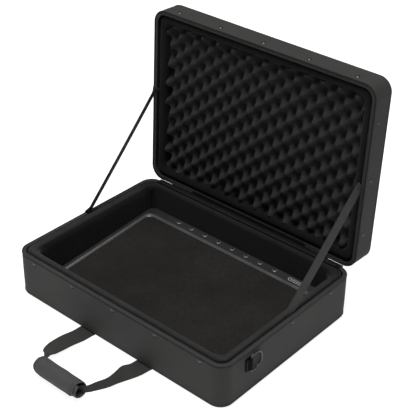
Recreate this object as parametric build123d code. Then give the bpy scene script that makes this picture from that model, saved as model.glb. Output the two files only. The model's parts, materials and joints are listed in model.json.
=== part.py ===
from build123d import *
import os

# Soft-sided, zip-closed carry case with a lift-out powered pedalboard.
# Millimetres. The origin is the middle of the case's underside: +X runs along the front,
# +Y to the hinge side, +Z up. The lid is drawn closed and then turned open about the hinge.

# Case
CASE_LENGTH = 534.0
CASE_WIDTH = 384.0
CORNER_R = 28.0
INNER_CORNER_R = 16.0
BASE_RIM_Z = 97.0
LID_DEPTH = 55.6
RIM_GAP = 1.4
OPEN_ANGLE = 92.0
HINGE_Y = CASE_WIDTH / 2 + 1.9
HINGE_Z = 96.6

# Wall build-up, each counted inwards from the outer face
COVER_T = 2.0
BOTTOM_T = 3.0
BOARD_IN = 2.1
BOARD_OUT = 5.1
FOAM_FACE = 6.4
BINDING_OUT = -0.5
BINDING_IN = 2.3
TAPE_OUT = 2.4
TAPE_IN = 8.4
COIL_OUT = 6.6
COIL_IN = 8.2
PLUSH_OUT = 10.2
PLUSH_IN = 27.4
BINDING_H = 2.9
TAPE_T = 0.7
COIL_H = 1.35
PLUSH_PROUD = 4.0
PLUSH_RECESS = 3.0
BOARD_T = BOARD_OUT - BOARD_IN
PAD_TOP_Z = 14.0
EDGE_R = 4.0
LID_EDGE_R = 5.0
SLIP = 0.1

# Rivets
RIVET_X = [-214.0, -107.0, 0.0, 107.0, 214.0]
RIVET_Y = [-117.0, 2.0, 120.0]
BASE_RIVET_Z = 86.0
LID_RIVET_BACK = 17.0
RIVET_HEAD_R = 4.6
RIVET_HEAD_H = 2.2
RIVET_SHANK_R = 2.0
RIVET_FLARE_R = 3.6
RIVET_FLARE_T = 0.9
HOLE_SLIP = 0.05

# Webbing
WEB_T = 1.6
STAY_W = 25.0
STAY_IN = 9.3
STAY_T = 1.3
STAY_BASE_Y = {-1: 9.5, 1: 15.5}
STAY_LID_V = {-1: 196.0, 1: 171.0}
HANDLE_W = 38.0
ANCHOR_LEN = 130.0
HANDLE_Y = -CASE_WIDTH / 2 - 2.3
HANDLE_Z = 1.5
LEG_LEFT_X = -70.0
LEG_RIGHT_X = 79.0
GRIP_X = 8.5
GRIP_Y = -332.0
GRIP_Z = 19.4
GRIP_R = 18.4
GRIP_BORE_R = 14.0
GRIP_LEN = 108.0
LID_LOOP_X = 74.0
LID_LOOP_BACK = 7.0
LID_LOOP_REACH = 134.0

# D-rings
RING_Y = -120.0
RING_Z = 68.5
RING_STAND = 3.7
RING_WIRE_R = 1.75
RING_HALF = 18.0
RING_NECK = 12.0
RING_BEND = 4.0
TAB_H = 26.0
TAB_LEN = 12.0
RUN_CLEAR = 0.08

# Zip sliders
SLIDER_X = 236.0
SLIDER_W = 9.0
ZIP_END_X = 230.0
PULL_Z = 87.0
PULL_Y = CASE_WIDTH / 2 + 3.6
PULL_PIN_R = 1.1
PULL_LEN = 24.0

# Pedalboard
TRAY_X = 232.7
TRAY_Y = 160.8
TRAY_R = 17.0
TRAY_BACK_TOP = 49.4
TRAY_SLOPE = 0.069
TRAY_WALL = 3.0
TRAY_FOOT_Z = 17.2
CARPET_X = 212.0
CARPET_BACK = 128.0
CARPET_FRONT = -140.0
CARPET_R = 9.0
CARPET_T = 1.2
LIP_W = 5.0
LIP_H = 1.6
JACK_COUNT = 8
JACK_X0 = -144.5
JACK_STEP = 36.85
JACK_Y = 149.0
JACK_BUSH_R = 3.95
JACK_BORE_R = 2.85
JACK_PIN_R = 1.0
JACK_NUT_R = 6.2
JACK_PROUD = 3.2
INLET_X = -190.0
INLET_R = 5.0
BADGE_X = 167.0
FOOT_R = 9.0
PLATE_T = 2.0
SCREW_R = 1.45
SCREW_X = [-200.0, 0.0, 200.0]
SCREW_Y = [-128.0, 128.0]

INLET_Z = TRAY_FOOT_Z + 14.0
LID_RIM_Z = BASE_RIM_Z + RIM_GAP
LID_TOP_Z = LID_RIM_Z + LID_DEPTH
HALF_X = CASE_LENGTH / 2
HALF_Y = CASE_WIDTH / 2


STANDING = (Align.CENTER, Align.CENTER, Align.MIN)
HANGING = (Align.CENTER, Align.CENTER, Align.MAX)
UP_SLOPE = (1 + TRAY_SLOPE**2) ** 0.5


def outline(inset):
    """The case's plan outline, moved inwards."""
    radius = max(CORNER_R - inset, INNER_CORNER_R)
    return RectangleRounded(CASE_LENGTH - 2 * inset, CASE_WIDTH - 2 * inset, radius)


def slab(inset, z0, z1):
    return Pos(0, 0, z0) * extrude(outline(inset), z1 - z0)


def ring(outer, inner, z0, z1):
    return Pos(0, 0, z0) * extrude(outline(outer) - outline(inner), z1 - z0)


def bead(outer, inner, z0, z1, share=0.42):
    """A ring with all four long edges rounded, for piping and coils."""
    body = ring(outer, inner, z0, z1)
    radius = share * min(inner - outer, z1 - z0)
    long_edges = body.edges().filter_by(lambda e: abs(e.tangent_at(0.5).Z) < 0.5)
    return fillet(long_edges, radius)


def block(x0, x1, y0, y1, z0, z1):
    size = (x1 - x0, y1 - y0, z1 - z0)
    return Pos(x0, y0, z0) * Box(*size, align=(Align.MIN, Align.MIN, Align.MIN))


def rod(start, end, radius):
    axis = Vector(end) - Vector(start)
    place = Plane(origin=start, z_dir=axis)
    return place * Cylinder(radius, axis.length, align=STANDING)


def opened(shape):
    """Turns a piece drawn on the closed lid to where it stands at rest."""
    return shape.rotate(Axis((0, HINGE_Y, HINGE_Z), (1, 0, 0)), -OPEN_ANGLE)


def group(shapes):
    return Compound(children=list(shapes))


def ribbon(stations, thickness):
    """Webbing through (centre, direction, width direction, width) stations."""
    sections = []
    for centre, along, across, width in stations:
        plane = Plane(origin=centre, x_dir=across, z_dir=along)
        sections.append(plane * Rectangle(width, thickness))
    return loft(sections, ruled=True)


def rivet_places(z):
    """Planes on the four walls, facing out, one per rivet."""
    places = []
    for x in RIVET_X:
        for side in (-1, 1):
            places.append(Plane(origin=(x, side * HALF_Y, z), z_dir=(0, side, 0)))
    for y in RIVET_Y:
        for side in (-1, 1):
            places.append(Plane(origin=(side * HALF_X, y, z), z_dir=(side, 0, 0)))
    return places


def base_rivet_places():
    """The D-rings take the place of the front rivet on each side wall."""
    places = rivet_places(BASE_RIVET_Z)
    return [p for p in places if abs(p.origin.X) < HALF_X or p.origin.Y > RING_Y + RING_HALF]


def rivet():
    ball_r = (RIVET_HEAD_R**2 + RIVET_HEAD_H**2) / (2 * RIVET_HEAD_H)
    ball = Pos(0, 0, RIVET_HEAD_H - ball_r + HOLE_SLIP) * Sphere(ball_r)
    span = 4 * ball_r
    head = ball - Pos(0, 0, HOLE_SLIP) * Box(span, span, span, align=HANGING)
    depth = BOARD_OUT + HOLE_SLIP
    shank = Pos(0, 0, HOLE_SLIP) * Cylinder(RIVET_SHANK_R, depth + HOLE_SLIP, align=HANGING)
    flare = Pos(0, 0, -depth) * Cylinder(RIVET_FLARE_R, RIVET_FLARE_T, align=HANGING)
    return head + shank + flare


def rivets(places):
    one = rivet()
    return group(p.location * one for p in places)


def rivet_holes(places):
    hole = Cylinder(RIVET_SHANK_R + HOLE_SLIP, 4 * BOARD_OUT)
    return [p.location * hole for p in places]


def anchor_x():
    return [LEG_LEFT_X, LEG_RIGHT_X]


# ---- base ----

def base_cover():
    walls = slab(0, 0, BASE_RIM_Z - BINDING_H - SLIP)
    walls = fillet(walls.faces().sort_by(Axis.Z)[0].edges(), EDGE_R)
    walls -= slab(COVER_T, BOTTOM_T, BASE_RIM_Z)
    pocket_t = WEB_T + SLIP
    for x in anchor_x():
        half = HANDLE_W / 2 + SLIP
        walls -= block(x - half, x + half, -HALF_Y - 1, -HALF_Y + ANCHOR_LEN + SLIP, -1, pocket_t)
    return walls - rivet_holes(base_rivet_places())


def base_wall_board():
    board = ring(BOARD_IN, BOARD_OUT, BOTTOM_T + BOARD_T + 2 * SLIP, BASE_RIM_Z - BINDING_H - 1)
    return board - rivet_holes(base_rivet_places())


def base_floor_board():
    return slab(BOARD_IN, BOTTOM_T + SLIP, BOTTOM_T + SLIP + BOARD_T)


def base_wall_foam():
    floor_z = BOTTOM_T + BOARD_T + 2 * SLIP
    low = ring(FOAM_FACE, PLUSH_IN, floor_z, BASE_RIM_Z - 2.5)
    high = ring(PLUSH_OUT, PLUSH_IN, floor_z, BASE_RIM_Z + PLUSH_PROUD)
    foam = low + high
    top = foam.faces().sort_by(Axis.Z)[-1]
    return fillet(top.edges(), EDGE_R * 0.75)


def base_floor_pad():
    return slab(PLUSH_IN + 2 * SLIP, BOTTOM_T + BOARD_T + 2 * SLIP, PAD_TOP_Z)


def base_top_binding():
    return bead(BINDING_OUT, BINDING_IN, BASE_RIM_Z - BINDING_H, BASE_RIM_Z)


def base_bottom_piping():
    return bead(-1.0, -SLIP / 2, 4.6, 7.4)


def back_run():
    """The stretch over the hinge, where the zip is left out."""
    return block(-ZIP_END_X, ZIP_END_X, HALF_Y - PLUSH_OUT, HALF_Y + 1, 0, LID_TOP_Z)


def base_zip_tape():
    z1 = BASE_RIM_Z - COIL_H - 0.05
    return ring(TAPE_OUT, TAPE_IN, z1 - TAPE_T, z1) - back_run()


def base_zip_coil():
    return bead(COIL_OUT, COIL_IN, BASE_RIM_Z - COIL_H, BASE_RIM_Z) - back_run()


def base_handle_anchors():
    half = HANDLE_W / 2
    y1 = -HALF_Y + ANCHOR_LEN
    return group(block(x - half, x + half, -HALF_Y + EDGE_R, y1, 0, WEB_T) for x in anchor_x())


# ---- lid, drawn closed ----

def lid_cover():
    z0 = LID_RIM_Z + BINDING_H + SLIP
    walls = slab(0, z0, LID_TOP_Z)
    walls = fillet(walls.faces().sort_by(Axis.Z)[-1].edges(), LID_EDGE_R)
    walls -= slab(COVER_T, z0 - 1, LID_TOP_Z - COVER_T)
    return opened(walls - rivet_holes(rivet_places(LID_RIM_Z + LID_RIVET_BACK)))


def lid_wall_board():
    z0 = LID_RIM_Z + BINDING_H + 1
    z1 = LID_TOP_Z - COVER_T - BOARD_T - 2 * SLIP
    board = ring(BOARD_IN, BOARD_OUT, z0, z1)
    return opened(board - rivet_holes(rivet_places(LID_RIM_Z + LID_RIVET_BACK)))


def lid_top_board():
    z1 = LID_TOP_Z - COVER_T - SLIP
    return opened(slab(BOARD_IN + EDGE_R / 2, z1 - BOARD_T, z1))


def lid_foam_top_z():
    return LID_TOP_Z - COVER_T - BOARD_T - 2 * SLIP


def lid_wall_foam():
    high = ring(FOAM_FACE, PLUSH_IN, LID_RIM_Z + 2.5, lid_foam_top_z())
    low = ring(PLUSH_OUT, PLUSH_IN, LID_RIM_Z + PLUSH_RECESS, lid_foam_top_z())
    step = ring(FOAM_FACE - 1, PLUSH_OUT, LID_RIM_Z, LID_RIM_Z + PLUSH_RECESS)
    return opened(low + (high - step - slab(PLUSH_OUT, LID_RIM_Z, LID_RIM_Z + PLUSH_RECESS)))


def lid_convoluted_foam():
    return opened(slab(PLUSH_IN + 2 * SLIP, LID_RIM_Z + PLUSH_RECESS + 2, lid_foam_top_z()))


def lid_rim_binding():
    return opened(bead(BINDING_OUT, BINDING_IN, LID_RIM_Z, LID_RIM_Z + BINDING_H))


def lid_edge_piping():
    return opened(bead(-1.0, -SLIP / 2, LID_TOP_Z - 8.4, LID_TOP_Z - 5.6))


def lid_zip_tape():
    z0 = LID_RIM_Z + COIL_H + 0.05
    return opened(ring(TAPE_OUT, TAPE_IN, z0, z0 + TAPE_T) - back_run())


def lid_zip_coil():
    return opened(bead(COIL_OUT, COIL_IN, LID_RIM_Z, LID_RIM_Z + COIL_H) - back_run())


def lid_handle_anchors():
    half = HANDLE_W / 2
    y0 = -HALF_Y + LID_EDGE_R
    z0 = LID_TOP_Z + SLIP
    patch = block(LID_LOOP_X - half, LID_LOOP_X + half, y0, y0 + ANCHOR_LEN, z0, z0 + WEB_T)
    return opened(group([patch, mirror(patch, Plane.YZ)]))


# ---- soft links between base and lid, drawn at rest ----

def hinge_tape():
    """A folded strip along the back: flat on the base's rim, then up in front of the lid's rim."""
    half = 170.0
    thick = 0.7
    flat_z = BASE_RIM_Z + SLIP
    face_y = HINGE_Y + 0.8
    flat = block(-half, half, HALF_Y - COIL_IN, face_y + thick, flat_z, flat_z + thick)
    upright = block(-half, half, face_y, face_y + thick, flat_z, flat_z + 10.5)
    return flat + upright


def stay_strap(side):
    """A taut strap in the groove between zip tape and foam, from the base's rim to the lid's rim."""
    x = side * (HALF_X - STAY_IN)
    lid_end = opened(Pos(0, HALF_Y - STAY_LID_V[side], LID_RIM_Z + 1) * Box(1, 1, 1)).center()
    base_end = Vector(0, STAY_BASE_Y[side], BASE_RIM_Z)
    along = (lid_end - base_end).normalized()
    reach = 20.0
    start = base_end - along * reach
    length = (lid_end - base_end).length + 2 * reach
    place = Plane(origin=(x, start.Y, start.Z), x_dir=(1, 0, 0), z_dir=along)
    strap = place * Box(STAY_T, STAY_W, length, align=STANDING)
    span = CASE_LENGTH
    in_base = block(-span, span, -span, span, BASE_RIM_Z - 1.8 - span, BASE_RIM_Z - 1.8)
    in_lid = opened(block(-span, span, -2 * span, 2 * span, LID_RIM_Z + 1.8, LID_RIM_Z + span))
    return strap - in_base - in_lid


# ---- handles ----

def base_handle_strap():
    flat = (1, 0, 0)
    out = (0, -1, 0)
    stations = [
        ((LEG_LEFT_X, HANDLE_Y, HANDLE_Z), out, flat, HANDLE_W),
        ((-73, -216, 2), (0, -1, 0.05), flat, HANDLE_W),
        ((-76, -241, 3.5), (0, -1, 0.1), flat, HANDLE_W),
        ((-74, -266, 6.5), (0.1, -1, 0.2), flat, 36),
        ((-69, -287, 11.5), (0.2, -1, 0.2), (1, 0.2, -0.15), 27),
        ((-63, -301, 18), (0.4, -1, 0.3), (0.8, 0.4, -0.5), 16),
        ((-53, -315, 22.5), (0.7, -0.9, -0.1), (0.1, -0.3, -0.9), 13),
        ((-47, -322.5, 20.5), (0.8, -0.8, -0.1), (0, -0.3, -0.9), 11),
        ((-38, -329, GRIP_Z), (1, -0.3, 0), (0, -0.5, -0.85), 15),
        ((-20, GRIP_Y, GRIP_Z), flat, (0, -1, -0.2), 18),
        ((25, GRIP_Y, GRIP_Z), flat, (0, -1, 0.3), 18),
        ((50, -327, GRIP_Z), (1, 0.3, 0), (0, -0.4, 1), 14),
        ((64, -321.5, 19.8), (0.8, 0.8, -0.1), (0, 0.1, 1), 12),
        ((69, -303, 17), (0.2, 1, -0.2), (-0.1, 0.1, 1), 17),
        ((73.5, -279, 12.5), (0.1, 1, -0.2), (-0.25, 0.05, 0.95), 19),
        ((75, -258, 11), (0, 1, -0.1), (-0.5, 0, 0.85), 22),
        ((76, -237, 9.5), (0, 1, -0.2), (-0.8, 0, 0.5), 29),
        ((LEG_RIGHT_X - 1, -212, 3.2), (0, 1, -0.1), (-1, 0, 0.05), 36),
        ((LEG_RIGHT_X, HANDLE_Y, HANDLE_Z), (0, 1, 0), (-1, 0, 0), HANDLE_W),
    ]
    return ribbon(stations, WEB_T)


def base_handle_grip():
    wrap = Cylinder(GRIP_R, GRIP_LEN) - Cylinder(GRIP_BORE_R, GRIP_LEN + 2)
    return Pos(GRIP_X, GRIP_Y, GRIP_Z) * (Rot(0, 90, 0) * wrap)


def lid_handle_strap():
    """The second carry loop, lying flat on the outside of the lid."""
    z = LID_TOP_Z + SLIP + WEB_T + 1.1
    y0 = -HALF_Y + LID_LOOP_BACK
    flat = (1, 0, 0)
    turn_y = y0 + LID_LOOP_REACH - 46
    end_y = y0 + LID_LOOP_REACH - HANDLE_W / 2
    stations = [
        ((-LID_LOOP_X, y0, z), (0, 1, 0), flat, HANDLE_W),
        ((-LID_LOOP_X, turn_y, z), (0, 1, 0), flat, HANDLE_W),
        ((-LID_LOOP_X + 16, end_y - 8, z), (1, 1, 0), (1, -1, 0), HANDLE_W - 4),
        ((-LID_LOOP_X + 40, end_y, z), flat, (0, -1, 0), HANDLE_W - 4),
        ((LID_LOOP_X - 40, end_y, z), flat, (0, -1, 0), HANDLE_W - 4),
        ((LID_LOOP_X - 16, end_y - 8, z), (1, -1, 0), (-1, -1, 0), HANDLE_W - 4),
        ((LID_LOOP_X, turn_y, z), (0, -1, 0), (-1, 0, 0), HANDLE_W),
        ((LID_LOOP_X, y0, z), (0, -1, 0), (-1, 0, 0), HANDLE_W),
    ]
    return opened(ribbon(stations, WEB_T))


# ---- D-rings, drawn for the right wall ----

def d_ring(side):
    x = HALF_X + RING_STAND
    top = RING_Z + RING_HALF
    low = RING_Z - RING_HALF
    neck = RING_Y + RING_NECK
    path = Wire([
        Edge.make_line((x, RING_Y, low + RING_BEND), (x, RING_Y, top - RING_BEND)),
        Edge.make_three_point_arc(
            (x, RING_Y, top - RING_BEND),
            (x, RING_Y + RING_BEND * 0.2929, top - RING_BEND * 0.2929),
            (x, RING_Y + RING_BEND, top),
        ),
        Edge.make_line((x, RING_Y + RING_BEND, top), (x, neck, top)),
        Edge.make_three_point_arc((x, neck, top), (x, neck + RING_HALF, RING_Z), (x, neck, low)),
        Edge.make_line((x, neck, low), (x, RING_Y + RING_BEND, low)),
        Edge.make_three_point_arc(
            (x, RING_Y + RING_BEND, low),
            (x, RING_Y + RING_BEND * 0.2929, low + RING_BEND * 0.2929),
            (x, RING_Y, low + RING_BEND),
        ),
    ])
    section = Plane(origin=(x, RING_Y, low + RING_BEND), z_dir=(0, 0, 1)) * Circle(RING_WIRE_R)
    ring_right = sweep(section, path=path)
    return ring_right if side > 0 else mirror(ring_right, Plane.YZ)


def d_ring_tabs():
    """Webbing folded round each D-ring's straight bar and sewn to the wall in front of it."""
    x = HALF_X + RING_STAND
    eye_r = RING_STAND - SLIP
    low = RING_Z - TAB_H / 2
    eye = rod((x, RING_Y, low), (x, RING_Y, low + TAB_H), eye_r)
    tail = block(HALF_X + SLIP, x - RING_WIRE_R + 1.6, RING_Y - TAB_LEN, RING_Y, low, low + TAB_H)
    bore = rod((x, RING_Y, low - 1), (x, RING_Y, low + TAB_H + 1), RING_WIRE_R + RUN_CLEAR)
    tab = eye + tail - bore
    return group([tab, mirror(tab, Plane.YZ)])


# ---- zip sliders, drawn on the back run near the right rear corner ----

def zip_slider(side):
    x0 = SLIDER_X - SLIDER_W / 2
    x1 = SLIDER_X + SLIDER_W / 2
    back = HALF_Y + 1.0
    lip_z = BASE_RIM_Z + 0.15
    lip = block(x0 + 1, x1 - 1, HALF_Y - COIL_IN, back + 2.2, lip_z, lip_z + 1.05)
    neck = block(x0 + 1, x1 - 1, back, back + 2.2, BASE_RIM_Z - 2, lip_z + 1.05)
    body = block(x0, x1, back, back + 5.0, PULL_Z + 2.6, BASE_RIM_Z - 0.8)
    ears = block(x0, x1, back + 0.6, back + 4.6, PULL_Z - 2.0, PULL_Z + 3)
    ears -= block(SLIDER_X - 2.4, SLIDER_X + 2.4, back, back + 6, PULL_Z - 3, PULL_Z + 2.6)
    pin = rod((x0, PULL_Y, PULL_Z), (x1, PULL_Y, PULL_Z), PULL_PIN_R)
    slider = lip + neck + body + ears + pin
    return slider if side > 0 else mirror(slider, Plane.YZ)


def zip_pull(side):
    eye_half = 2.25
    eye = rod((SLIDER_X - eye_half, PULL_Y, PULL_Z), (SLIDER_X + eye_half, PULL_Y, PULL_Z), 2.1)
    x0 = SLIDER_X - eye_half
    x1 = SLIDER_X + eye_half
    stem = block(x0, x1, PULL_Y - 0.8, PULL_Y + 0.8, PULL_Z - 6, PULL_Z)
    end = PULL_Z - PULL_LEN
    tab = block(x0 - 1.4, x1 + 1.4, PULL_Y - 0.9, PULL_Y + 0.9, end, PULL_Z - 5)
    tab = fillet(tab.edges().filter_by(Axis.Y), 2.2)
    bore = rod((SLIDER_X - 5, PULL_Y, PULL_Z), (SLIDER_X + 5, PULL_Y, PULL_Z), PULL_PIN_R + RUN_CLEAR)
    pull = eye + stem + tab - bore
    return pull if side > 0 else mirror(pull, Plane.YZ)


# ---- pedalboard ----

def deck():
    """The sloping top face: local +Z is its normal, local Y runs up the slope from y 0."""
    z = TRAY_BACK_TOP - TRAY_SLOPE * TRAY_Y
    return Plane(origin=(0, 0, z), x_dir=(1, 0, 0), z_dir=(0, -TRAY_SLOPE, 1))


def jack_points():
    """Deck places of the outlets."""
    return [(JACK_X0 + i * JACK_STEP, JACK_Y * UP_SLOPE) for i in range(JACK_COUNT)]


def on_deck(shape):
    return deck().location * shape


def tray_block(inset, sink, z0):
    """The tray's outline cut off at the sloping deck, sink below it."""
    size = RectangleRounded(2 * (TRAY_X - inset), 2 * (TRAY_Y - inset), TRAY_R - inset)
    body = Pos(0, 0, z0) * extrude(size, TRAY_BACK_TOP)
    span = 4 * TRAY_X
    above = Pos(0, 0, -sink) * Box(span, span, span, align=STANDING)
    return body - on_deck(above)


def carpet_outline(grow):
    depth = (CARPET_BACK - CARPET_FRONT) * UP_SLOPE + 2 * grow
    middle = (CARPET_BACK + CARPET_FRONT) / 2 * UP_SLOPE
    return Pos(0, middle) * RectangleRounded(2 * (CARPET_X + grow), depth, CARPET_R + grow)


def screw_places():
    return [(x, y) for x in SCREW_X for y in SCREW_Y]


def board_tray():
    outer = tray_block(0, 0, TRAY_FOOT_Z)
    tray = fillet(outer.faces().sort_by(Axis.Z)[-1].edges(), EDGE_R)
    tray -= tray_block(TRAY_WALL, TRAY_WALL, TRAY_FOOT_Z - 1)
    lip = extrude(carpet_outline(LIP_W) - carpet_outline(SLIP), LIP_H)
    tray += on_deck(fillet(lip.faces().sort_by(Axis.Z)[-1].edges(), 0.7))
    for x, y in screw_places():
        ceiling = TRAY_BACK_TOP + TRAY_SLOPE * (y - TRAY_Y) - 1
        post = rod((x, y, TRAY_FOOT_Z + PLATE_T + SLIP), (x, y, ceiling), 4)
        tray += post - rod((x, y, 0), (x, y, TRAY_FOOT_Z + 6.5), SCREW_R + HOLE_SLIP)
    for x, y in jack_points():
        tray -= on_deck(Pos(x, y) * Cylinder(JACK_BUSH_R + SLIP, 4 * TRAY_WALL))
    wall = TRAY_Y - 2 * TRAY_WALL
    return tray - rod((INLET_X, wall, INLET_Z), (INLET_X, TRAY_Y + 1, INLET_Z), INLET_R + SLIP)


def board_carpet():
    return on_deck(Pos(0, 0, SLIP) * extrude(carpet_outline(-SLIP), CARPET_T))


def board_bottom_plate():
    inset = TRAY_WALL + SLIP
    size = RectangleRounded(2 * (TRAY_X - inset), 2 * (TRAY_Y - inset), TRAY_R - inset)
    plate = Pos(0, 0, TRAY_FOOT_Z) * extrude(size, PLATE_T)
    return plate - [rod((x, y, 0), (x, y, TRAY_BACK_TOP), SCREW_R + 0.35) for x, y in screw_places()]


def board_screws():
    screws = []
    for x, y in screw_places():
        head = rod((x, y, TRAY_FOOT_Z - 1.8), (x, y, TRAY_FOOT_Z - 0.02), 3.0)
        shank = rod((x, y, TRAY_FOOT_Z - 0.5), (x, y, TRAY_FOOT_Z + 6), SCREW_R)
        screws.append(fillet(head.edges().sort_by(Axis.Z)[0], 0.9) + shank)
    return group(screws)


def board_feet():
    feet = []
    for x in (-195, 195):
        for y in (-108, 108):
            foot = rod((x, y, PAD_TOP_Z + 0.05), (x, y, TRAY_FOOT_Z - 0.02), FOOT_R)
            feet.append(fillet(foot.edges().sort_by(Axis.Z)[0], 0.8))
    return group(feet)


def jack_bushes():
    """Threaded metal bush and its ring nut, one per outlet, open for a barrel plug."""
    low = -TRAY_WALL - 3
    bush = Pos(0, 0, low) * Cylinder(JACK_BUSH_R, JACK_PROUD - low, align=STANDING)
    nut = Pos(0, 0, 0.05) * extrude(RegularPolygon(JACK_NUT_R, 6), 1.5)
    bore = Pos(0, 0, -TRAY_WALL - 1) * Cylinder(JACK_BORE_R, 20, align=STANDING)
    one = bush + nut - bore
    return group(on_deck(Pos(x, y) * one) for x, y in jack_points())


def jack_housings():
    low = -TRAY_WALL - 3 - SLIP
    box = Pos(0, 0, low) * Box(13, 11, 9, align=HANGING)
    return group(on_deck(Pos(x, y) * box) for x, y in jack_points())


def jack_pins():
    low = -TRAY_WALL - 1 + 0.02
    pin = Pos(0, 0, low) * Cylinder(JACK_PIN_R, TRAY_WALL + 3, align=STANDING)
    return group(on_deck(Pos(x, y) * pin) for x, y in jack_points())


def board_circuit():
    low = -TRAY_WALL - 12 - 2 * SLIP
    middle_x = JACK_X0 + (JACK_COUNT - 1) * JACK_STEP / 2
    card = Box((JACK_COUNT - 1) * JACK_STEP + 40, 16, 1.6, align=HANGING)
    return on_deck(Pos(middle_x, JACK_Y, low) * card)


def power_inlet():
    """The supply socket in the tray's back wall."""
    x = INLET_X
    z = INLET_Z
    wall = TRAY_Y - TRAY_WALL
    body = block(x - 8, x + 8, wall - 15, wall - SLIP, z - 7, z + 7)
    nose = rod((x, wall - 1, z), (x, TRAY_Y + 1.5, z), INLET_R)
    hole = rod((x, wall - 8, z), (x, TRAY_Y + 3, z), JACK_BORE_R)
    pin = rod((x, wall - 8.5, z), (x, TRAY_Y, z), JACK_PIN_R)
    return body + nose - hole + pin


def badge_plate():
    plate = extrude(SlotOverall(36, 9), 1.2)
    plate = fillet(plate.faces().sort_by(Axis.Z)[-1].edges(), 0.5)
    return on_deck(Pos(BADGE_X, (JACK_Y - 2) * UP_SLOPE, 0.05) * plate)


NODES = {
    "base_cover": base_cover,
    "base_wall_board": base_wall_board,
    "base_floor_board": base_floor_board,
    "base_wall_foam": base_wall_foam,
    "base_floor_pad": base_floor_pad,
    "base_top_binding": base_top_binding,
    "base_bottom_piping": base_bottom_piping,
    "base_zip_tape": base_zip_tape,
    "base_zip_coil": base_zip_coil,
    "base_rivets": lambda: rivets(base_rivet_places()),
    "base_handle_anchors": base_handle_anchors,
    "lid_cover": lid_cover,
    "lid_wall_board": lid_wall_board,
    "lid_top_board": lid_top_board,
    "lid_wall_foam": lid_wall_foam,
    "lid_convoluted_foam": lid_convoluted_foam,
    "lid_rim_binding": lid_rim_binding,
    "lid_edge_piping": lid_edge_piping,
    "lid_zip_tape": lid_zip_tape,
    "lid_zip_coil": lid_zip_coil,
    "lid_rivets": lambda: opened(rivets(rivet_places(LID_RIM_Z + LID_RIVET_BACK))),
    "lid_handle_anchors": lid_handle_anchors,
    "hinge_tape": hinge_tape,
    "stay_strap_left": lambda: stay_strap(-1),
    "stay_strap_right": lambda: stay_strap(1),
    "base_handle_strap": base_handle_strap,
    "base_handle_grip": base_handle_grip,
    "lid_handle_strap": lid_handle_strap,
    "d_ring_left": lambda: d_ring(-1),
    "d_ring_right": lambda: d_ring(1),
    "d_ring_tabs": d_ring_tabs,
    "zip_slider_left": lambda: zip_slider(-1),
    "zip_slider_right": lambda: zip_slider(1),
    "zip_pull_left": lambda: zip_pull(-1),
    "zip_pull_right": lambda: zip_pull(1),
    "board_tray": board_tray,
    "board_carpet": board_carpet,
    "board_bottom_plate": board_bottom_plate,
    "board_screws": board_screws,
    "board_feet": board_feet,
    "jack_bushes": jack_bushes,
    "jack_housings": jack_housings,
    "jack_pins": jack_pins,
    "board_circuit": board_circuit,
    "power_inlet": power_inlet,
    "badge_plate": badge_plate,
}

os.makedirs("parts", exist_ok=True)
for name, make in NODES.items():
    export_step(make(), f"parts/{name}.step")
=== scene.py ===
import json
import math

import bpy
import numpy as np
from mathutils import Matrix, Vector, noise

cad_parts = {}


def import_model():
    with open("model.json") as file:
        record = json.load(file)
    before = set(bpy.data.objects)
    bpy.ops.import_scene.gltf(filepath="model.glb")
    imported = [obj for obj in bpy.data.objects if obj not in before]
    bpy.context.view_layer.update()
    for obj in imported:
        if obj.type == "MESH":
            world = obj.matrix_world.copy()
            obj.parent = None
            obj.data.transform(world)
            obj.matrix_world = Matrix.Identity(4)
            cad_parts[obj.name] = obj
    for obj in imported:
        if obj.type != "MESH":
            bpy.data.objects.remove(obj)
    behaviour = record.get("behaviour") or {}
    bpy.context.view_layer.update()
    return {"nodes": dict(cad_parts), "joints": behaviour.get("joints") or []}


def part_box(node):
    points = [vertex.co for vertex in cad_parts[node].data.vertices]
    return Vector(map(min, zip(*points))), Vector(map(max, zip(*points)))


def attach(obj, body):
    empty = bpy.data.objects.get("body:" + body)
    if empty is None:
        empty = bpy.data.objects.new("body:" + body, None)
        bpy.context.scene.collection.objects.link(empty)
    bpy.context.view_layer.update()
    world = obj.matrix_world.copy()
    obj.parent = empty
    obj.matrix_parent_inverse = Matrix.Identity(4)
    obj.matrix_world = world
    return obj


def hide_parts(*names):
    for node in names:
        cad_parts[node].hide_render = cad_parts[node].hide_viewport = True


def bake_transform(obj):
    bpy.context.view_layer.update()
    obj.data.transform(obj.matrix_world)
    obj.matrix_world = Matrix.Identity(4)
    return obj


# Looks of a soft carry case with a lift-out pedalboard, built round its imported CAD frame.
# Metres, in the CAD frame: +X along the front, +Y towards the hinge, +Z up. Lid pieces are
# drawn on the closed lid and turned open. "Inset" is always measured in from the outer face.

MM = 0.001
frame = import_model()


# ---- where the CAD says things are ----

def joint(name):
    return next(j for j in frame["joints"] if j["name"] == name)


def cad_points(node):
    return np.array([v.co for v in frame["nodes"][node].data.vertices], float)


lid_joint = joint("lid_hinge")
PIVOT = Vector(lid_joint["pos_m"])
OPEN_TURN = math.radians(lid_joint["range_deg"][1])
OPENED = (
    Matrix.Translation(PIVOT)
    @ Matrix.Rotation(-OPEN_TURN, 4, "X")
    @ Matrix.Translation(-PIVOT)
)


def moved(points, matrix):
    turn = np.array(matrix.to_3x3())
    return np.asarray(points) @ turn.T + np.array(matrix.translation)


def closed_box(node):
    """A lid node's box with the lid closed."""
    points = moved(cad_points(node), OPENED.inverted())
    return points.min(0), points.max(0)


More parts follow.
